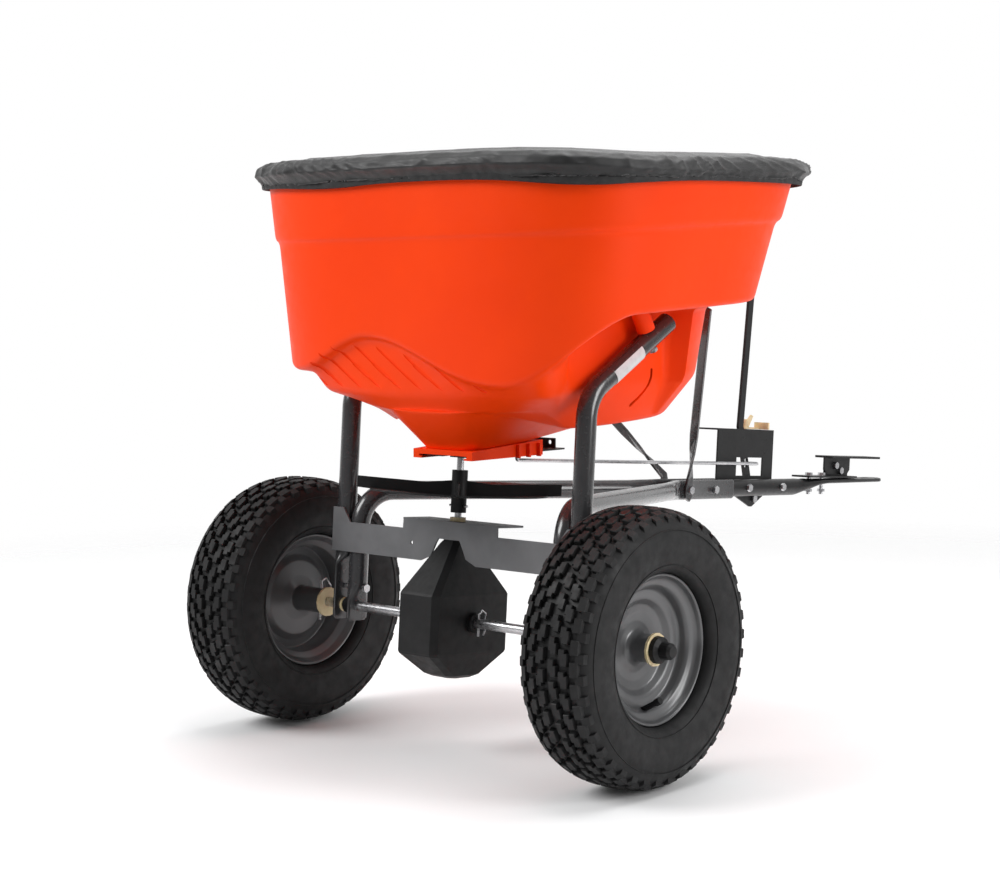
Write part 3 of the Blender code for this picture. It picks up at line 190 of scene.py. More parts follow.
ivory = Finish("ivory_nylon", (0.78, 0.62, 0.38), 0.45)
ivory.tint(ivory.noise(90, 4), (0.70, 0.54, 0.31)).gloss(ivory.noise(200, 3), 0.38, 0.55)
ivory.bump(ivory.noise(800, 2), 0.12, 0.0003).set(Subsurface_Weight=0.08)

fabric = Finish("cover_fabric", (0.0045, 0.0045, 0.0048), 0.50)
fabric.tint(fabric.noise(35, 5), (0.0075, 0.0075, 0.008)).gloss(fabric.noise(80, 4), 0.42, 0.62)


def weave(finish, pitch, strength, distance):
    """Two crossed sets of threads, at the pitch in metres."""
    heights = []
    for axis in ("X", "Y"):
        wave = finish.tree.nodes.new("ShaderNodeTexWave")
        wave.bands_direction = axis
        wave.inputs["Scale"].default_value = math.pi / (10 * pitch) * 2
        wave.inputs["Distortion"].default_value = 0.4
        wave.inputs["Detail Scale"].default_value = 2.0
        finish.link(finish.place, wave.inputs["Vector"])
        heights.append(wave.outputs["Fac"])
    mix = finish.tree.nodes.new("ShaderNodeMath")
    mix.operation = "MULTIPLY"
    finish.link(heights[0], mix.inputs[0])
    finish.link(heights[1], mix.inputs[1])
    return finish.bump(mix.outputs[0], strength, distance)


weave(fabric, 0.0016, 0.30, 0.0003).bump(fabric.noise(160, 4), 0.2, 0.0006)
fabric.set(Sheen_Weight=0.25, Sheen_Roughness=0.4)

hem_tape = Finish("hem_tape", (0.008, 0.008, 0.0085), 0.7)
hem_tape.tint(hem_tape.noise(70, 4), (0.016, 0.016, 0.017)).gloss(hem_tape.noise(100, 4), 0.55, 0.8)
weave(hem_tape, 0.0011, 0.5, 0.0003)

label = Finish("blank_label", (0.62, 0.63, 0.64), 0.35)
label.tint(label.noise(120, 4), (0.54, 0.55, 0.56)).gloss(label.noise(150, 3), 0.28, 0.42)
label.bump(label.noise(500, 2), 0.08, 0.0002)

SLOT_FINISH = {"tyre": rubber, "rim": rim_paint, "black_plastic": plastic, "nylon": ivory, "zinc_steel": zinc,
               "gear_steel": gear_steel, "frame_paint": frame_paint, "grey_plate": grey_plate,
               "black_paint": black_paint, "orange_plastic": orange, "cover_fabric": fabric}
slot_of = {s["node"]: s["material_slot"] for s in frame["record"]["subparts"]}
for name, obj in nodes.items():
    obj.data.materials.clear()
    obj.data.materials.append(SLOT_FINISH[slot_of[name]].mat)


# ---------------------------------------------------------------- mesh helpers
def add(name, bm, finish, body, replaces=(), smooth=35, matrix=Matrix.Identity(4)):
    """New piece from a bmesh given in the matrix's frame."""
    bmesh.ops.recalc_face_normals(bm, faces=bm.faces)
    mesh = bpy.data.meshes.new(name)
    bm.to_mesh(mesh)
    bm.free()
    mesh.transform(matrix)
    mesh.shade_smooth()
    mesh.set_sharp_from_angle(angle=math.radians(smooth))
    obj = bpy.data.objects.new(name, mesh)
    scene.collection.objects.link(obj)
    mesh.materials.append(finish.mat)
    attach(obj, body)
    if replaces:
        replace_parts(obj, *replaces)
    return obj


def skin(bm, rings, caps=True, closed=False):
    loops = [[bm.verts.new(p) for p in ring] for ring in rings]
    count = len(rings[0])
    pairs = list(zip(loops, loops[1:])) + ([(loops[-1], loops[0])] if closed else [])
    for low, high in pairs:
        for i in range(count):
            j = (i + 1) % count
            bm.faces.new((low[i], low[j], high[j], high[i]))
    if caps and not closed:
        bm.faces.new(loops[0])
        bm.faces.new(loops[-1])
    return loops


def turned(profile, steps, bm=None, closed=True):
    """Profile of (radius, along) turned about +Z."""
    bm = bm or bmesh.new()
    rings = [[Vector((r * math.cos(2 * math.pi * k / steps), r * math.sin(2 * math.pi * k / steps), h))
              for k in range(steps)] for r, h in profile]
    skin(bm, rings, closed=closed)
    return bm


def towards(direction):
    return Vector(direction).normalized().to_track_quat("Z", "Y").to_matrix().to_4x4()


def rounded(profile, radius, steps=3):
    """Rounds the corners of a closed profile."""
    points, result = [Vector(p) for p in profile], []
    for before, corner, after in zip(points[-1:] + points[:-1], points, points[1:] + points[:1]):
        a, b = before - corner, after - corner
        cut = min(radius, 0.45 * a.length, 0.45 * b.length)
        a, b = corner + a.normalized() * cut, corner + b.normalized() * cut
        for k in range(steps + 1):
            t = k / steps
            result.append(tuple((1 - t) ** 2 * a + 2 * t * (1 - t) * corner + t * t * b))
    return result


def wheel_matrix(side):
    return CHASSIS @ Matrix.Translation((side * TRACK_HALF, 0, 0)) @ towards((side, 0, 0))


# ---------------------------------------------------------------- tyres and rims
TREAD_FLOOR = 0.1575
CARCASS = [(0.0895, 0.0352), (0.0915, 0.0400), (0.0950, 0.0438), (0.1030, 0.0478), (0.1120, 0.0503),
           (0.1230, 0.0514), (0.1330, 0.0508), (0.1420, 0.0487), (0.1490, 0.0452), (0.1538, 0.0395),
           (0.1562, 0.0300), (TREAD_FLOOR, 0.0150), (0.1580, 0.0)]


def surface_at(across):
    """Radius of the tread's floor at a distance across from the middle."""
    table = sorted((h, r) for r, h in CARCASS if r > 0.14)
    across = abs(across)
    for (h0, r0), (h1, r1) in zip(table, table[1:]):
        if h0 <= across <= h1:
            return r0 + (r1 - r0) * (across - h0) / (h1 - h0)
    return table[-1][1]


def tread_top(across):
    """Radius of the tread blocks' tops."""
    t = min(abs(across) / 0.050, 1.0)
    return TYRE_R - 0.0009 - 0.0125 * t ** 3.2


def block(bm, outline, height=1.0, turn=0.0):
    """Block on the tread from an outline of (around in radians, across in metres)."""
    middle = [sum(p[i] for p in outline) / len(outline) for i in (0, 1)]
    rings = []
    for level, shrink in ((0.0, 1.0), (0.86, 0.95), (1.0, 0.87)):
        ring = []
        for around, across in outline:
            around = middle[0] + (around - middle[0]) * shrink
            across = middle[1] + (across - middle[1]) * shrink
            floor, top = surface_at(across) - 0.0012, tread_top(across)
            radius = floor + (top - floor) * level * height
            ring.append(Vector((radius * math.cos(around + turn), radius * math.sin(around + turn), across)))
        rings.append(ring)
    loops = [[bm.verts.new(p) for p in ring] for ring in rings]
    for low, high in zip(loops, loops[1:]):
        for i in range(len(low)):
            j = (i + 1) % len(low)
            bm.faces.new((low[i], low[j], high[j], high[i]))
    bm.faces.new(loops[-1])
    bm.faces.new(list(reversed(loops[0])))


PITCHES = 41


def tyre(side_name, side):
    bm = bmesh.new()
    outer = CARCASS + [(r, -h) for r, h in reversed(CARCASS[:-1])]
    inner = [(0.0895, 0.0290), (0.1060, 0.0420), (0.1380, 0.0440), (0.1480, 0.0300), (0.1500, 0.0)]
    inner = [(r, -h) for r, h in inner] + list(reversed(inner[:-1]))
    turned(outer + inner, 164, bm)
    for radius, across in ((0.0990, 0.0462), (0.1400, 0.0497)):
        for s in (-1, 1):
            ring = [(radius - 0.0009, s * (across - 0.0012)), (radius - 0.0005, s * (across + 0.0006)),
                    (radius + 0.0005, s * (across + 0.0006)), (radius + 0.0009, s * (across - 0.0012))]
            turned(ring, 120, bm)
    pitch = 2 * math.pi / PITCHES
    for k in range(PITCHES):
        base = k * pitch
        for s in (-1, 1):
            lean = 0.5 * pitch if s < 0 else 0.0
            a = base + lean
            w = 0.40 * pitch
            block(bm, [(a - w, s * 0.0030), (a + w * 0.55, s * 0.0030), (a + w * 0.55, s * 0.0065), (a + w,
                    s * 0.0065),
                       (a + w, s * 0.0145), (a - w * 0.30, s * 0.0145), (a - w * 0.30, s * 0.0112), (a - w,
                               s * 0.0112)])
            b = a + 0.5 * pitch
            block(bm, [(b - w, s * 0.0172), (b + w * 0.2, s * 0.0172), (b + w * 0.2, s * 0.0200), (b + w,
                    s * 0.0200),
                       (b + w, s * 0.0285), (b - w * 0.55, s * 0.0285), (b - w * 0.55, s * 0.0250), (b - w,
                               s * 0.0250)])
            block(bm, [(a - w * 0.9, s * 0.0312), (a + w * 0.9, s * 0.0312), (a + w * 0.9, s * 0.0405),
                       (a - w * 0.9, s * 0.0405)])
            block(bm, [(b - w * 0.62, s * 0.0368), (b + w * 0.62, s * 0.0368), (b + w * 0.62, s * 0.0462),
                       (b - w * 0.62, s * 0.0462)], 0.85)
    return add("tyre_body_" + side_name, bm, rubber, "drive_axle" if side < 0 else "right_wheel",
               ["tyre_" + side_name], 30, wheel_matrix(side))


RIM = [(0.0885, 0.0318), (0.0870, 0.0330), (0.0850, 0.0318), (0.0830, 0.0262), (0.0800, 0.0236), (0.0740,
        0.0215),
       (0.0715, 0.0180), (0.0690, 0.0110), (0.0670, 0.0092), (0.0600, 0.0088), (0.0560, 0.0076), (0.0500,
               0.0012),
       (0.0400, -0.0010), (0.0300, -0.0012), (0.0215, 0.0006), (0.0180, 0.0040), (0.0167, 0.0080), (0.0165,
               0.0252),
       (0.0158, 0.0260), (0.0100, 0.0260), (0.0098, 0.0255), (0.0098, -0.0580), (0.0158, -0.0585), (0.0165,
               -0.0578),
       (0.0165, -0.0075), (0.0300, -0.0040), (0.0500, -0.0022), (0.0580, 0.0045), (0.0695, 0.0080), (0.0715,
               -0.0180),
       (0.0800, -0.0240), (0.0850, -0.0318), (0.0870, -0.0330), (0.0885, -0.0318), (0.0885, -0.0295),
               (0.0840, -0.0270),
       (0.0840, -0.0130), (0.0760, -0.0100), (0.0760, 0.0150), (0.0840, 0.0200), (0.0840, 0.0270), (0.0885,
               0.0295)]
for side_name, side in SIDES:
    tyre(side_name, side)
    body = "drive_axle" if side < 0 else "right_wheel"
    add("rim_body_" + side_name, turned(rounded(RIM, 0.0016), 112), rim_paint, body,
        ["rim_" + side_name], 50, wheel_matrix(side))

# ---------------------------------------------------------------- tubes and flat bars
TUBE_R, FLAT_HALF, FLAT_WIDE = 0.0127, 0.0025, 0.0175
LEG_X, UPRIGHT_X, BLADE_X, TONGUE_Z = 0.1735, 0.1995, 0.0163, 0.1640
UPRIGHT_TOP = Vector((0.2030, 0.1460, 0.3850))


def arc_path(corners, radius, steps=14):
    path = [Vector(corners[0])]
    for before, corner, after in zip(corners, corners[1:], corners[2:]):
        before, corner, after = Vector(before), Vector(corner), Vector(after)
        into, out = (before - corner).normalized(), (after - corner).normalized()
        half = into.angle(out) / 2
        reach = radius / math.tan(half)
        centre = corner + (into + out).normalized() * radius / math.sin(half)
        first, last = corner + into * reach - centre, corner + out * reach - centre
        sweep, axis = first.angle(last), first.cross(last)
        path += [centre + Matrix.Rotation(sweep * k / steps, 3, axis) @ first for k in range(steps + 1)]
    path.append(Vector(corners[-1]))
    return path


def swept(stations, sides=32, blends=5):
    """Skin through stations of (centre, side direction, half_side, half_other, power)."""
    fine = []
    for a, b in zip(stations, stations[1:]):
        count = blends if (a[2], a[3]) != (b[2], b[3]) else 1
        for k in range(count):
            t = k / count
            s = t * t * (3 - 2 * t)
            fine.append((Vector(a[0]).lerp(Vector(b[0]), t), Vector(a[1]).lerp(Vector(b[1]), t),
                         a[2] + (b[2] - a[2]) * s, a[3] + (b[3] - a[3]) * s, a[4] + (b[4] - a[4]) * s))
    fine.append((Vector(stations[-1][0]), Vector(stations[-1][1]), *stations[-1][2:]))
    rings = []
    for i, (centre, side, half_side, half_other, power) in enumerate(fine):
        tangent = (fine[min(i + 1, len(fine) - 1)][0] - fine[max(i - 1, 0)][0]).normalized()
        side = (side - tangent * side.dot(tangent)).normalized()
        other = tangent.cross(side)
        ring = []
        for k in range(sides):
            c, s = math.cos(2 * math.pi * (k + 0.5) / sides), math.sin(2 * math.pi * (k + 0.5) / sides)
            ring.append(centre + side * half_side * math.copysign(abs(c) ** (2 / power), c)
                        + other * half_other * math.copysign(abs(s) ** (2 / power), s))
        rings.append(ring)
    bm = bmesh.new()
    skin(bm, rings)
    return bm


for side_name, side in SIDES:
    x = side * UPRIGHT_X
    top = Vector((side * UPRIGHT_TOP.x, UPRIGHT_TOP.y, UPRIGHT_TOP.z))
    stations = [((x, 0, -0.0190), X, FLAT_HALF, FLAT_WIDE * 0.8, 3), ((x, 0, -0.0150), X, FLAT_HALF,
            FLAT_WIDE, 4),
                ((x, 0, 0.0520), X, FLAT_HALF, FLAT_WIDE, 4)]
    stations += [(p, X, TUBE_R, TUBE_R, 2) for p in arc_path([(x, 0, 0.0700), (x, 0, 0.2880), top], 0.050)]
    add("upright_tube_" + side_name, swept(stations), frame_paint, "chassis",
        ["upright_" + side_name], 40, CHASSIS)
    leg, blade = side * LEG_X, side * BLADE_X
    corner, nose = Vector((leg, 0, 0.1520)), Vector((blade, 0.4400, TONGUE_Z))
    run = (nose - corner).normalized()
    stations = [((leg, 0, -0.0190), X, FLAT_HALF, FLAT_WIDE * 0.8, 3), ((leg, 0, -0.0150), X, FLAT_HALF,
            FLAT_WIDE, 4),
                ((leg, 0, 0.0040), X, FLAT_HALF, FLAT_WIDE, 4)]
    stations += [(p, X, TUBE_R, TUBE_R, 2) for p in arc_path([(leg, 0, 0.0300), corner, nose], 0.046)[:-1]]
    stations += [(nose - run * 0.055, X, TUBE_R, TUBE_R, 2), (nose - run * 0.028, X, 0.0092, 0.0133, 2.2),
                 ((blade, 0.4430, TONGUE_Z), X, 0.0030, 0.0140, 4),
                 ((blade, 0.5740, TONGUE_Z + 0.0015), X, 0.0030, 0.0140, 4),
                 ((blade, 0.5762, TONGUE_Z + 0.0015), X, 0.0028, 0.0125, 4)]
    add("drawbar_" + side_name, swept(stations), frame_paint, "chassis",
        ["drawbar_tube_" + side_name], 40, CHASSIS)


def boolean(obj, bm, matrix, operation="DIFFERENCE"):
    """Exact cut by a bmesh, applied to the object's mesh; the tool is removed."""
    bmesh.ops.recalc_face_normals(bm, faces=bm.faces)
    mesh = bpy.data.meshes.new("tool")
    bm.to_mesh(mesh)
    bm.free()
    mesh.transform(matrix)
    tool = bpy.data.objects.new("tool", mesh)
    scene.collection.objects.link(tool)
    modifier = obj.modifiers.new("cut", "BOOLEAN")
    modifier.operation, modifier.solver, modifier.object = operation, "EXACT", tool
    apply_modifiers(obj)
    bpy.data.objects.remove(tool)


def apply_modifiers(obj):
    bpy.context.view_layer.update()
    mesh = bpy.data.meshes.new_from_object(obj.evaluated_get(bpy.context.evaluated_depsgraph_get()))
    obj.modifiers.clear()
    obj.data = mesh


def rod(start, end, radius, sides=32, bm=None):
    bm = bm or bmesh.new()
    start, end = Vector(start), Vector(end)
    bmesh.ops.create_cone(bm, cap_ends=True, segments=sides, radius1=radius, radius2=radius,
                          depth=(end - start).length,
                          matrix=Matrix.Translation((start + end) / 2) @ towards(end - start))
    return bm


tongue_stations = [((0, 0.4450, TONGUE_Z), X, TUBE_R, TUBE_R, 2), ((0, 0.7600, TONGUE_Z + 0.0035), X,
        TUBE_R, TUBE_R, 2),
                   ((0, 0.7900, TONGUE_Z + 0.0070), X, 0.0155, 0.0092, 2.3),
                   ((0, 0.8200, TONGUE_Z + 0.0115), X, 0.0175, 0.0048, 3),
                   ((0, 0.8400, TONGUE_Z + 0.0128), X, 0.0185, 0.0035, 4),
                   ((0, 0.9930, TONGUE_Z + 0.0155), X, 0.0185, 0.0035, 4),
                   ((0, 1.0010, TONGUE_Z + 0.0156), X, 0.0155, 0.0035, 4),
                   ((0, 1.0070, TONGUE_Z + 0.0157), X, 0.0110, 0.0034, 4)]
tongue = add("tongue_bar", swept(tongue_stations), black_paint, "chassis", ["tongue"], 40,
        CHASSIS)
boolean(tongue, rod((0, 0.976, 0.15), (0, 0.976, 0.25), 0.0068), CHASSIS)

# ---------------------------------------------------------------- hopper
PLAN_POWER, WALL = 3.9, 0.0035
HOPPER_SIDES = 264
ANGLES = [-180.0 + 360.0 * (k + 0.5) / HOPPER_SIDES for k in range(HOPPER_SIDES)]
LEDGE_KEYS = ((-180, 0.383), (-172, 0.383), (-140, 0.315), (-108, 0.362), (-54, 0.305), (-20, 0.383), (180,
        0.383))


def eased(t):
    t = min(max(t, 0.0), 1.0)
    return 0.5 - 0.5 * math.cos(math.pi * t)


def plan_point(degrees, half_x, half_y, mid_y, height, power=PLAN_POWER):
    c, s = math.cos(math.radians(degrees)), math.sin(math.radians(degrees))
    reach = (abs(c / half_x) ** power + abs(s / half_y) ** power) ** (-1 / power)
    return Vector((reach * c, mid_y + reach * s, height))


def ledge_height(degrees):
    for (start, low), (end, high) in zip(LEDGE_KEYS, LEDGE_KEYS[1:]):
        if start <= degrees <= end:
            return low + (high - low) * eased((degrees - start) / (end - start))
    return LEDGE_KEYS[-1][1]


def rim_tilted(point, share=1):
    return point - Z * share * (0.0454 * (point.y + 0.09) + 0.0100 * point.x)


BESIDE_TUBE = 0.1838         # widest the bowl may be where the uprights pass it


def bowl_point(degrees, front, rear, inset, lift):
    ledge = ledge_height(degrees)
    half_x, half_y, height, power = front
    before = plan_point(degrees, half_x - inset, half_y - inset, 0.160, min(height, ledge - 0.006), power)
    wide, deep, height, power = rear
    behind = plan_point(degrees, wide - inset, deep - inset, 0.160, min(height, ledge - 0.006), power)
    point = before.lerp(behind, 1.0 - eased((abs(degrees + 90.0) - 42.0) / 16.0)) + Z * lift
    limit = BESIDE_TUBE - inset + 0.09 * (eased((point.y - 0.210) / 0.05) + eased((0.020 - point.y) / 0.04))
    side = abs(point.x)
    if side > limit - 0.006:                 # soft limit, so that no hard line shows
        side = limit - 0.006 + 0.006 * (1 - math.exp(-(side - limit + 0.006) / 0.006))
    point.x = math.copysign(side, point.x)
    return point


BOWL_LEVELS = (((0.168, 0.144, 0.240, 2.8), (0.175, 0.190, 0.268, 3.0)),
               ((0.2085, 0.1765, 0.290, 2.9), (0.252, 0.203, 0.288, 3.9)),
               ((0.2215, 0.185, 0.377, 3.2), (0.272, 0.214, 0.400, 3.9)))


def hopper_rings(inset, lift):
    rings = [[plan_point(d, 0.045 - inset, 0.060 - inset, 0.060, 0.2165 + lift, 5.0) for d in ANGLES]]
    funnel = [plan_point(d, 0.105 - inset, 0.1175 - inset, 0.0825, 0.0, 3.0) for d in ANGLES]
    rings.append([p + Z * (0.228 + (0.200 - p.y) * 0.17 + lift) for p in funnel])
    for front, rear in BOWL_LEVELS:
        rings.append([bowl_point(d, front, rear, inset, lift) for d in ANGLES])
    rings.append([plan_point(d, 0.2850 - inset, 0.2125 - inset, 0.1475,
            ledge_height(d) + lift) for d in ANGLES])
    return rings


def between(low, high, count):
    """Rings evenly between two rings, both left out."""
    return [[a.lerp(b, (k + 1) / (count + 1)) for a, b in zip(low, high)] for k in range(count)]


def rounded_rings(rings, radius, steps=4):
    """Rounds the skin's creases between neighbouring rings."""
    result = [rings[0]]
    for before, ring, after in zip(rings, rings[1:], rings[2:]):
        for k in range(steps + 1):
            t, made = k / steps, []
            for p, q, r in zip(before, ring, after):
                a, b = p - q, r - q
                a = q + a.normalized() * min(radius, 0.42 * a.length)
                b = q + b.normalized() * min(radius, 0.42 * b.length)
                made.append((1 - t) ** 2 * a + 2 * t * (1 - t) * q + t * t * b)
            result.append(made)
    result.append(rings[-1])
    return result


wall = [(0.2945, 0.2405, 0.1665, 0.4785, 0), (0.3002, 0.2462, 0.1690, 0.4832, 0), (0.3105, 0.2535, 0.1770,
        0.5560, 1),
        (0.3135, 0.2562, 0.1775, 0.5600, 1), (0.3135, 0.2562, 0.1775, 0.5675, 1), (0.3060, 0.2487, 0.1770,
                0.5675, 1)]


def wall_ring(level, inset=0.0):
    half_x, half_y, mid_y, height, share = level
    return [rim_tilted(plan_point(d, half_x - inset, half_y - inset, mid_y, height), share) for d in ANGLES]


outer = hopper_rings(0.0, 0.0) + [wall_ring(level) for level in wall]
inner = hopper_rings(WALL, 0.0032) + [wall_ring(level, WALL) for level in wall[:3]]
bm = bmesh.new()
skin(bm, rounded_rings(outer + list(reversed(inner)), 0.0075), caps=False, closed=True)
bm.normal_update()
surface = BVHTree.FromBMesh(bm)
hopper = add("hopper_shell", bm, orange, "chassis", ["hopper"], 50, SEAT)

# bosses for the bolts through the uprights
tube_along = (UPRIGHT_TOP - Vector((UPRIGHT_TOP.x, 0, 0.288))).normalized()
tube_up = Vector((0, -tube_along.z, tube_along.y))
BOLT_Y = 0.1120
bolt_places = []
for side in (-1, 1):
    t = BOLT_Y / UPRIGHT_TOP.y
    place = Vector((side * (UPRIGHT_X + t * (UPRIGHT_TOP.x - UPRIGHT_X)), BOLT_Y,
            0.288 + t * (UPRIGHT_TOP.z - 0.288)))
    bolt_places.append(place)
    boolean(hopper, rod(place + tube_up * (TUBE_R + 0.0004), place + tube_up * 0.0505, 0.0115), CHASSIS,
            "UNION")
for place in bolt_places:
    boolean(hopper, rod(place - tube_up * 0.03, place + tube_up * 0.07, 0.0036), CHASSIS)


def capsule(bm, start, end, across, deep, out, sides=20):
    """Rounded slot cutter from start to end, across wide and deep along out both ways."""
    start, end, out = Vector(start), Vector(end), Vector(out).normalized()
    along = (end - start).normalized()
    side = along.cross(out).normalized()
    outline = []
    for k in range(sides):
        angle = math.pi * k / (sides - 1) - math.pi / 2
        outline.append(end + along * (across * math.cos(angle)) + side * (across * math.sin(angle)))
    for k in range(sides):
        angle = math.pi * k / (sides - 1) + math.pi / 2
        outline.append(start + along * (across * math.cos(angle)) + side * (across * math.sin(angle)))
    skin(bm, [[p - out * deep for p in outline], [p + out * deep for p in outline]])


def louvre(bm, x_low, low, top, across, deep, steps=12):
    """Shallow rounded groove that leans left as it rises and follows the outer wall from low to top."""
    rings = []
    for k in range(steps + 1):
        t = k / steps
        height = low + (top - low) * t
        hit, out, face, far = surface.ray_cast(Vector((x_low - LOUVRE_LEAN * (height - LOUVRE_FOOT), -0.4,
                height)), Y)
        if hit is None or hit.y > 0.010:
            continue
        out = out if out.y < 0 else -out
        aside = Z.cross(out).normalized()
        full = math.sqrt(max(0.03, 1 - (2 * t - 1) ** 8))
        rings.append([hit + aside * (across * full * math.cos(math.pi * n / 8))
                      + out * (deep * full * math.sin(math.pi * n / 8)) for n in range(16)])
    if len(rings) > 3:
        skin(bm, rings)


# louvres in the panel under the rear ledge, and four short deeper slots in them
LOUVRE_FOOT, LOUVRE_LEAN = 0.2950, 1.27
louvres, slots = bmesh.new(), bmesh.new()
for k in range(9):
    x = -0.1720 + 0.0358 * k
    louvre(louvres, x, LOUVRE_FOOT, 0.3510 - 0.0029 * (k - 4) ** 2, 0.0040, 0.0024)
    if k in (1, 3, 4, 6):
        louvre(slots, x, 0.3070, 0.3270, 0.0062, 0.0029)
boolean(hopper, slots, SEAT)
boolean(hopper, louvres, SEAT)

# curved slit in the bowl's right side, and its twin on the left
for side in (-1, 1):
    path = [Vector((side * x, y, z)) for x, y, z in ((0.1850, 0.1865, 0.3030), (0.1850, 0.1850, 0.2940),
            (0.1838, 0.1810, 0.2850),
                                                    (0.1822, 0.1740, 0.2765), (0.1790, 0.1640, 0.2690),
                                                            (0.1740, 0.1520, 0.2625))]
    for a, b in zip(path, path[1:]):
        slit = bmesh.new()
        capsule(slit, a, b, 0.0021, 0.0060, (side, 0.1, -0.3), 12)
        boolean(hopper, slit, SEAT)

# ---------------------------------------------------------------- fabric cover
COVER_LEVELS = ((0.3165, 0.2605, 0.1790, 0.5485), (0.3180, 0.2630, 0.1800, 0.5570), (0.3235, 0.2810, 0.1840,
        0.5690),
                (0.3215, 0.2790, 0.1840, 0.5770), (0.3150, 0.2720, 0.1840, 0.5835), (0.3000, 0.2570, 0.1840,
                        0.5870),
                (0.1500, 0.1300, 0.1840, 0.5890), (0.0500, 0.0430, 0.1840, 0.5890))
HEM_DIPS = ((-112, 17, 0.0050), (-38, 16, 0.0100), (66, 18, 0.0060), (146, 17, 0.0080))
TOP_DIPS = ((-20, 22, 0.0065), (158, 22, 0.0050))
CLOTH_SIDES = 720


def dip(degrees, dips):
    total = 0.0
    for middle, width, depth in dips:
        away = (degrees - middle + 180.0) % 360.0 - 180.0
        total += depth * math.exp(-(away / width) ** 2)
    return total


def cover_point(degrees, level, grow=0.0, lift=0.0):
    """Point of the cover at a level that may lie between two of the list."""
    i = min(int(level), len(COVER_LEVELS) - 2)
    t = level - i
    half_x, half_y, mid_y, height = (a + (b - a) * t for a, b in zip(COVER_LEVELS[i], COVER_LEVELS[i + 1]))
    hem_share = max(0.0, 1.0 - level / 2.0)
    sag = hem_share * dip(degrees, HEM_DIPS) + (1.0 - hem_share) * dip(degrees, TOP_DIPS) * max(0.0,
            1 - max(0, level - 5))
    return rim_tilted(plan_point(degrees, half_x + grow, half_y + grow, mid_y, height - sag + lift))


def ridged(value, sharp=2.0):
    return (1.0 - min(1.0, abs(value) * 2.2)) ** sharp


def fold(degrees, along, level):
    """How far the cloth stands out: short gathers over the hem, long slanting folds above them."""
    near = math.exp(-((level - 0.8) / 1.0) ** 2)
    gather = noise.noise(Vector((along / 0.0085, level * 0.35, 3.1))) * 0.0016 * near
    strain = 0.35 + 0.65 * max(0.0, noise.noise(Vector((along / 0.16, 0.5, 9.7))) + 0.35)
    lean = 0.030 * noise.noise(Vector((along / 0.25, 0.2, 5.3))) + 0.012
    ridge = ridged(noise.noise(Vector(((along + lean * level) / 0.030, level * 0.16, 7.7))))
    ridge += 0.6 * ridged(noise.noise(Vector(((along - 0.020 * level) / 0.042, level * 0.2, 1.3))))
    reach = math.exp(-((level - 2.6) / 2.0) ** 2)
    return gather + 0.0046 * strain * reach * ridge


levels = [0.0, 0.35, 0.7, 1.0]
levels += [1.0 + 1.0 * k / 7 for k in range(1, 8)] + [2.0 + k / 5 for k in range(1,
        6)] + [3.0 + k / 4 for k in range(1, 5)]
levels += [4.0 + k / 4 for k in range(1, 5)] + [5.0 + (k / 14) for k in range(1, 15)] + [6.5, 7.0]
cloth_angles = [-180.0 + 360.0 * (k + 0.5) / CLOTH_SIDES for k in range(CLOTH_SIDES)]
ring_lengths = [0.0]
for a, b in zip(cloth_angles, cloth_angles[1:]):
    ring_lengths.append(ring_lengths[-1] + (cover_point(b, 1.0) - cover_point(a, 1.0)).length)
bm = bmesh.new()
cloth_rings = []
for level in levels:
    ring = []
    for degrees, along in zip(cloth_angles, ring_lengths):
        point = cover_point(degrees, level)
        if level < 5.6:
            out = cover_point(degrees, min(level, 2.2), 0.004) - cover_point(degrees, min(level, 2.2))
            rise = eased((level - 2.2) / 1.8)
            out = (out.normalized() * (1 - rise) + Z * rise).normalized()
            seam = min(1.0, min(along, ring_lengths[-1] - along) / 0.02)
            point = point + out * fold(degrees, along, level) * seam * min(1.0, 0.25 + level)
        ring.append(point)
    cloth_rings.append(ring)
skin(bm, cloth_rings, caps=False)
bm.verts.ensure_lookup_table()
bm.faces.new(bm.verts[-CLOTH_SIDES:])
cover = add("cover_cloth", bm, fabric, "cover", ["cover"], 180, SEAT)

# the skirt is cut longer than the rim: with the hem held by its elastic it puckers between hem and top
held = cover.vertex_groups.new(name="held")
loose = cover.vertex_groups.new(name="loose")
for r, level in enumerate(levels):
    ids = list(range(r * CLOTH_SIDES, (r + 1) * CLOTH_SIDES))
    held.add(ids, 1.0 if level < 0.9 or level > 6.2 else 0.25 * eased((level - 4.0) / 1.5) + 0.02,
            "REPLACE")
    loose.add(ids, max(0.0, 1.0 - abs(level - 2.2) / 2.6), "REPLACE")
start = [v.co.copy() for v in cover.data.vertices]
sim = cover.modifiers.new("cloth", "CLOTH")
sim.settings.quality = 4
sim.settings.mass = 0.25
sim.settings.tension_stiffness = sim.settings.compression_stiffness = 18
sim.settings.shear_stiffness = 8
sim.settings.bending_stiffness = 0.35
sim.settings.vertex_group_mass = "held"
sim.settings.pin_stiffness = 0.6
sim.settings.vertex_group_shrink = "loose"
sim.settings.shrink_min = 0.0
sim.settings.shrink_max = -0.05
sim.settings.effector_weights.gravity = 0.4
sim.collision_settings.use_collision = False
sim.point_cache.frame_start, sim.point_cache.frame_end = 1, 12
for step in range(1, 13):
    scene.frame_set(step)
apply_modifiers(cover)
scene.frame_set(1)
for vertex, origin in zip(cover.data.vertices, start):
    move = vertex.co - origin
    if move.length > 0.006:
        vertex.co = origin + move * (0.006 / move.length)
cover.vertex_groups.clear()
cover.data.shade_smooth()

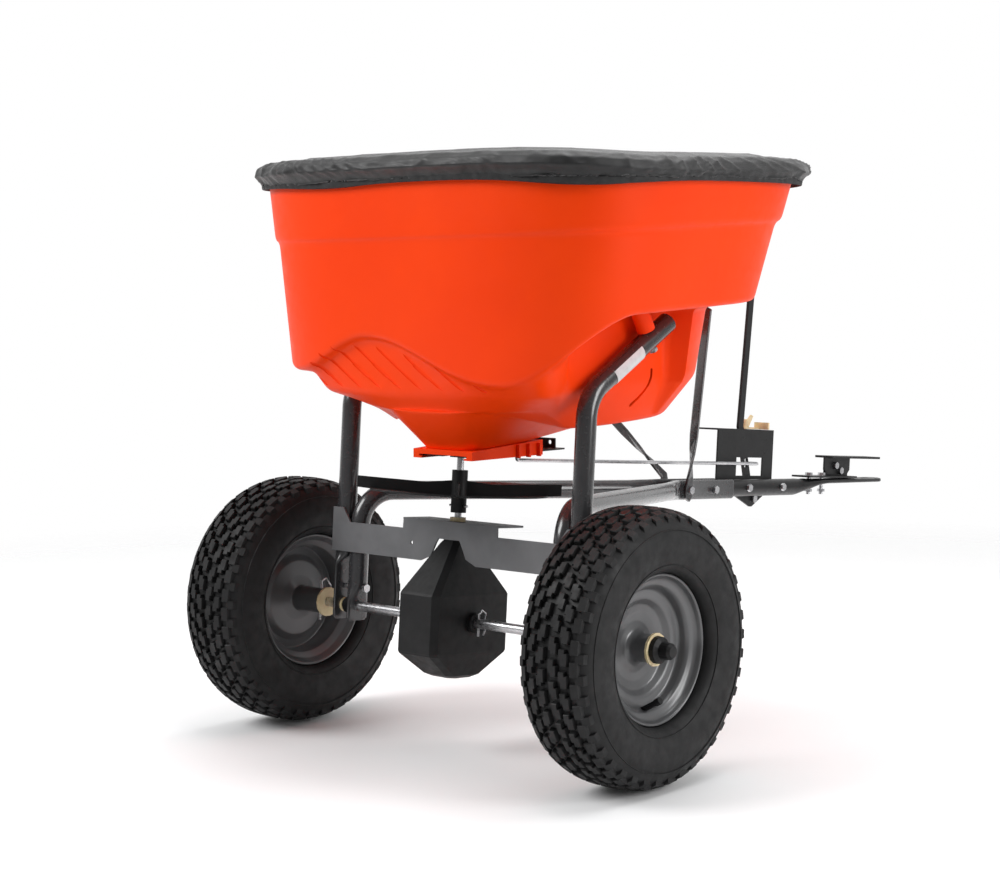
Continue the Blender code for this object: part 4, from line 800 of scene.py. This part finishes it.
# stitched elastic casing along the edge
casing = []
for k in range(16):
    angle = 2 * math.pi * k / 16
    out = 0.0013 * math.copysign(abs(math.cos(angle)) ** 0.8, math.cos(angle))
    up = 0.0044 * math.copysign(abs(math.sin(angle)) ** 0.7, math.sin(angle))
    ring = []
    for degrees, along in zip(cloth_angles, ring_lengths):
        ripple = 0.0005 * noise.noise(Vector((along / 0.007, 4.0, 0.5))) + 0.00025 * math.sin(along / 0.0022)
        ring.append(cover_point(degrees, 0.48, out + 0.0006 + (ripple if out > 0 else 0.0), up - 0.0003))
    casing.append(ring)
bm = bmesh.new()
skin(bm, casing, closed=True)
hem = add("cover_hem", bm, hem_tape, "cover", (), 60, SEAT)

# ---------------------------------------------------------------- blank label on the right upright
bent_start = Vector((UPRIGHT_X, 0, 0.288))
bent = (UPRIGHT_TOP - bent_start).normalized()
side_out = (X - bent * bent.dot(X)).normalized()
down = bent.cross(side_out).normalized()
if down.z > 0:
    down = -down
bm = bmesh.new()
rings = []
for t in range(13):
    centre = bent_start + bent * (0.046 + 0.060 * t / 12)
    arc = [-0.55 + 2.5 * k / 18 for k in range(19)]
    outer_arc = [centre + (side_out * math.cos(a) + down * math.sin(a)) * (TUBE_R + 0.00045) for a in arc]
    inner_arc = [centre + (side_out * math.cos(a) + down * math.sin(a)) * (TUBE_R + 0.00010) for a in reversed(arc)]
    rings.append(outer_arc + inner_arc)
skin(bm, rings)
add("upright_label", bm, label, "chassis", (), 40, CHASSIS)

# ---------------------------------------------------------------- softened edges on the parts taken over as they are
shown = {n for o in scene.objects if "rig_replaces" in o for n in o["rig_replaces"]}
BEVELS = {"gearbox_housing": 0.0050, "gearbox_cover": 0.0035, "gate_guide": 0.0010, "spinner": 0.0007,
          "control_bracket": 0.0006, "cross_plate": 0.0006, "hitch_strap": 0.0009, "hitch_base": 0.0008,
          "control_lever": 0.0007, "strut_left": 0.0006, "strut_right": 0.0006, "flow_stop": 0.0006}
for name, obj in nodes.items():
    if name in shown or name in ("ring_gear", "pinion"):
        continue
    bevel = obj.modifiers.new("soft_edge", "BEVEL")
    bevel.width = BEVELS.get(name, 0.00035)
    bevel.segments = 3 if name in BEVELS else 2
    bevel.limit_method = "ANGLE"
    bevel.angle_limit = math.radians(34)
    bevel.harden_normals = True


# ---------------------------------------------------------------- floor, light, camera
bm = bmesh.new()
bmesh.ops.create_grid(bm, x_segments=8, y_segments=8, size=14.0)
floor_mesh = bpy.data.meshes.new("floor")
bm.to_mesh(floor_mesh)
bm.free()
floor = bpy.data.objects.new("floor", floor_mesh)
scene.collection.objects.link(floor)
pale = Finish("pale_floor", (0.88, 0.88, 0.885), 0.6)
pale.tint(pale.noise(3, 2), (0.90, 0.90, 0.905))
far_off = pale.tree.nodes.new("ShaderNodeVectorMath")
far_off.operation = "LENGTH"
pale.link(pale.place, far_off.inputs[0])
faded = pale.tree.nodes.new("ShaderNodeMixShader")
pale.link(pale.span(far_off.outputs["Value"], 0.0, 1.0, 1.1, 2.4), faded.inputs[0])
pale.link(pale.shader.outputs[0], faded.inputs[1])
pale.link(pale.tree.nodes.new("ShaderNodeBsdfTransparent").outputs[0], faded.inputs[2])
pale.link(faded.outputs[0], pale.tree.nodes["Material Output"].inputs["Surface"])
floor.data.materials.append(pale.mat)

world = bpy.data.worlds.new("studio")
scene.world = world
world.use_nodes = True
wnodes, wlinks = world.node_tree.nodes, world.node_tree.links
toward = wnodes.new("ShaderNodeVectorMath")       # white cyclorama behind the object, dimmer room behind the viewer
toward.operation = "DOT_PRODUCT"
toward.inputs[1].default_value = (-0.6616, 0.7468, -0.0692)
wlinks.new(wnodes.new("ShaderNodeTexCoord").outputs["Generated"], toward.inputs[0])
room = wnodes.new("ShaderNodeMapRange")
for key, number in (("From Min", -0.2), ("From Max", 0.88), ("To Min", 0.26), ("To Max", 1.0)):
    room.inputs[key].default_value = number
wlinks.new(toward.outputs["Value"], room.inputs["Value"])
wlinks.new(room.outputs["Result"], wnodes["Background"].inputs["Strength"])
wnodes["Background"].inputs["Color"].default_value = (1.0, 1.0, 1.0, 1)
scene.view_settings.view_transform = "Standard"


def area_light(name, place, target, width, height, power, colour=(1, 1, 1)):
    data = bpy.data.lights.new(name, "AREA")
    data.shape, data.size, data.size_y, data.energy, data.color = "RECTANGLE", width, height, power, colour
    light = bpy.data.objects.new(name, data)
    scene.collection.objects.link(light)
    light.location = place
    light.rotation_euler = (Vector(target) - Vector(place)).to_track_quat("-Z", "Y").to_euler()
    return light


CENTRE = Vector((0, -0.2, 0.45))
area_light("key", (-1.4, -2.6, 2.3), CENTRE, 1.6, 1.6, 78)
area_light("side", (3.0, 0.4, 1.4), CENTRE, 1.2, 2.0, 60)
area_light("top", (0.2, 0.2, 3.2), CENTRE, 2.4, 2.4, 68)

elevation, azimuth = math.radians(3.97), math.radians(41.54)
camera_data = bpy.data.cameras.new("camera")
camera_data.lens, camera_data.sensor_width = 70.0, 36.0
camera = bpy.data.objects.new("camera", camera_data)
scene.collection.objects.link(camera)
camera.location = (1.6526, -1.7767 + AXLE_Y, 0.5616)
back = Vector((math.sin(azimuth) * math.cos(elevation), -math.cos(azimuth) * math.cos(elevation),
        math.sin(elevation)))
right = Vector((math.cos(azimuth), math.sin(azimuth), 0))
camera.matrix_world = Matrix.Translation(camera.location) @ Matrix((right, back.cross(right),
        back)).transposed().to_4x4()
scene.camera = camera
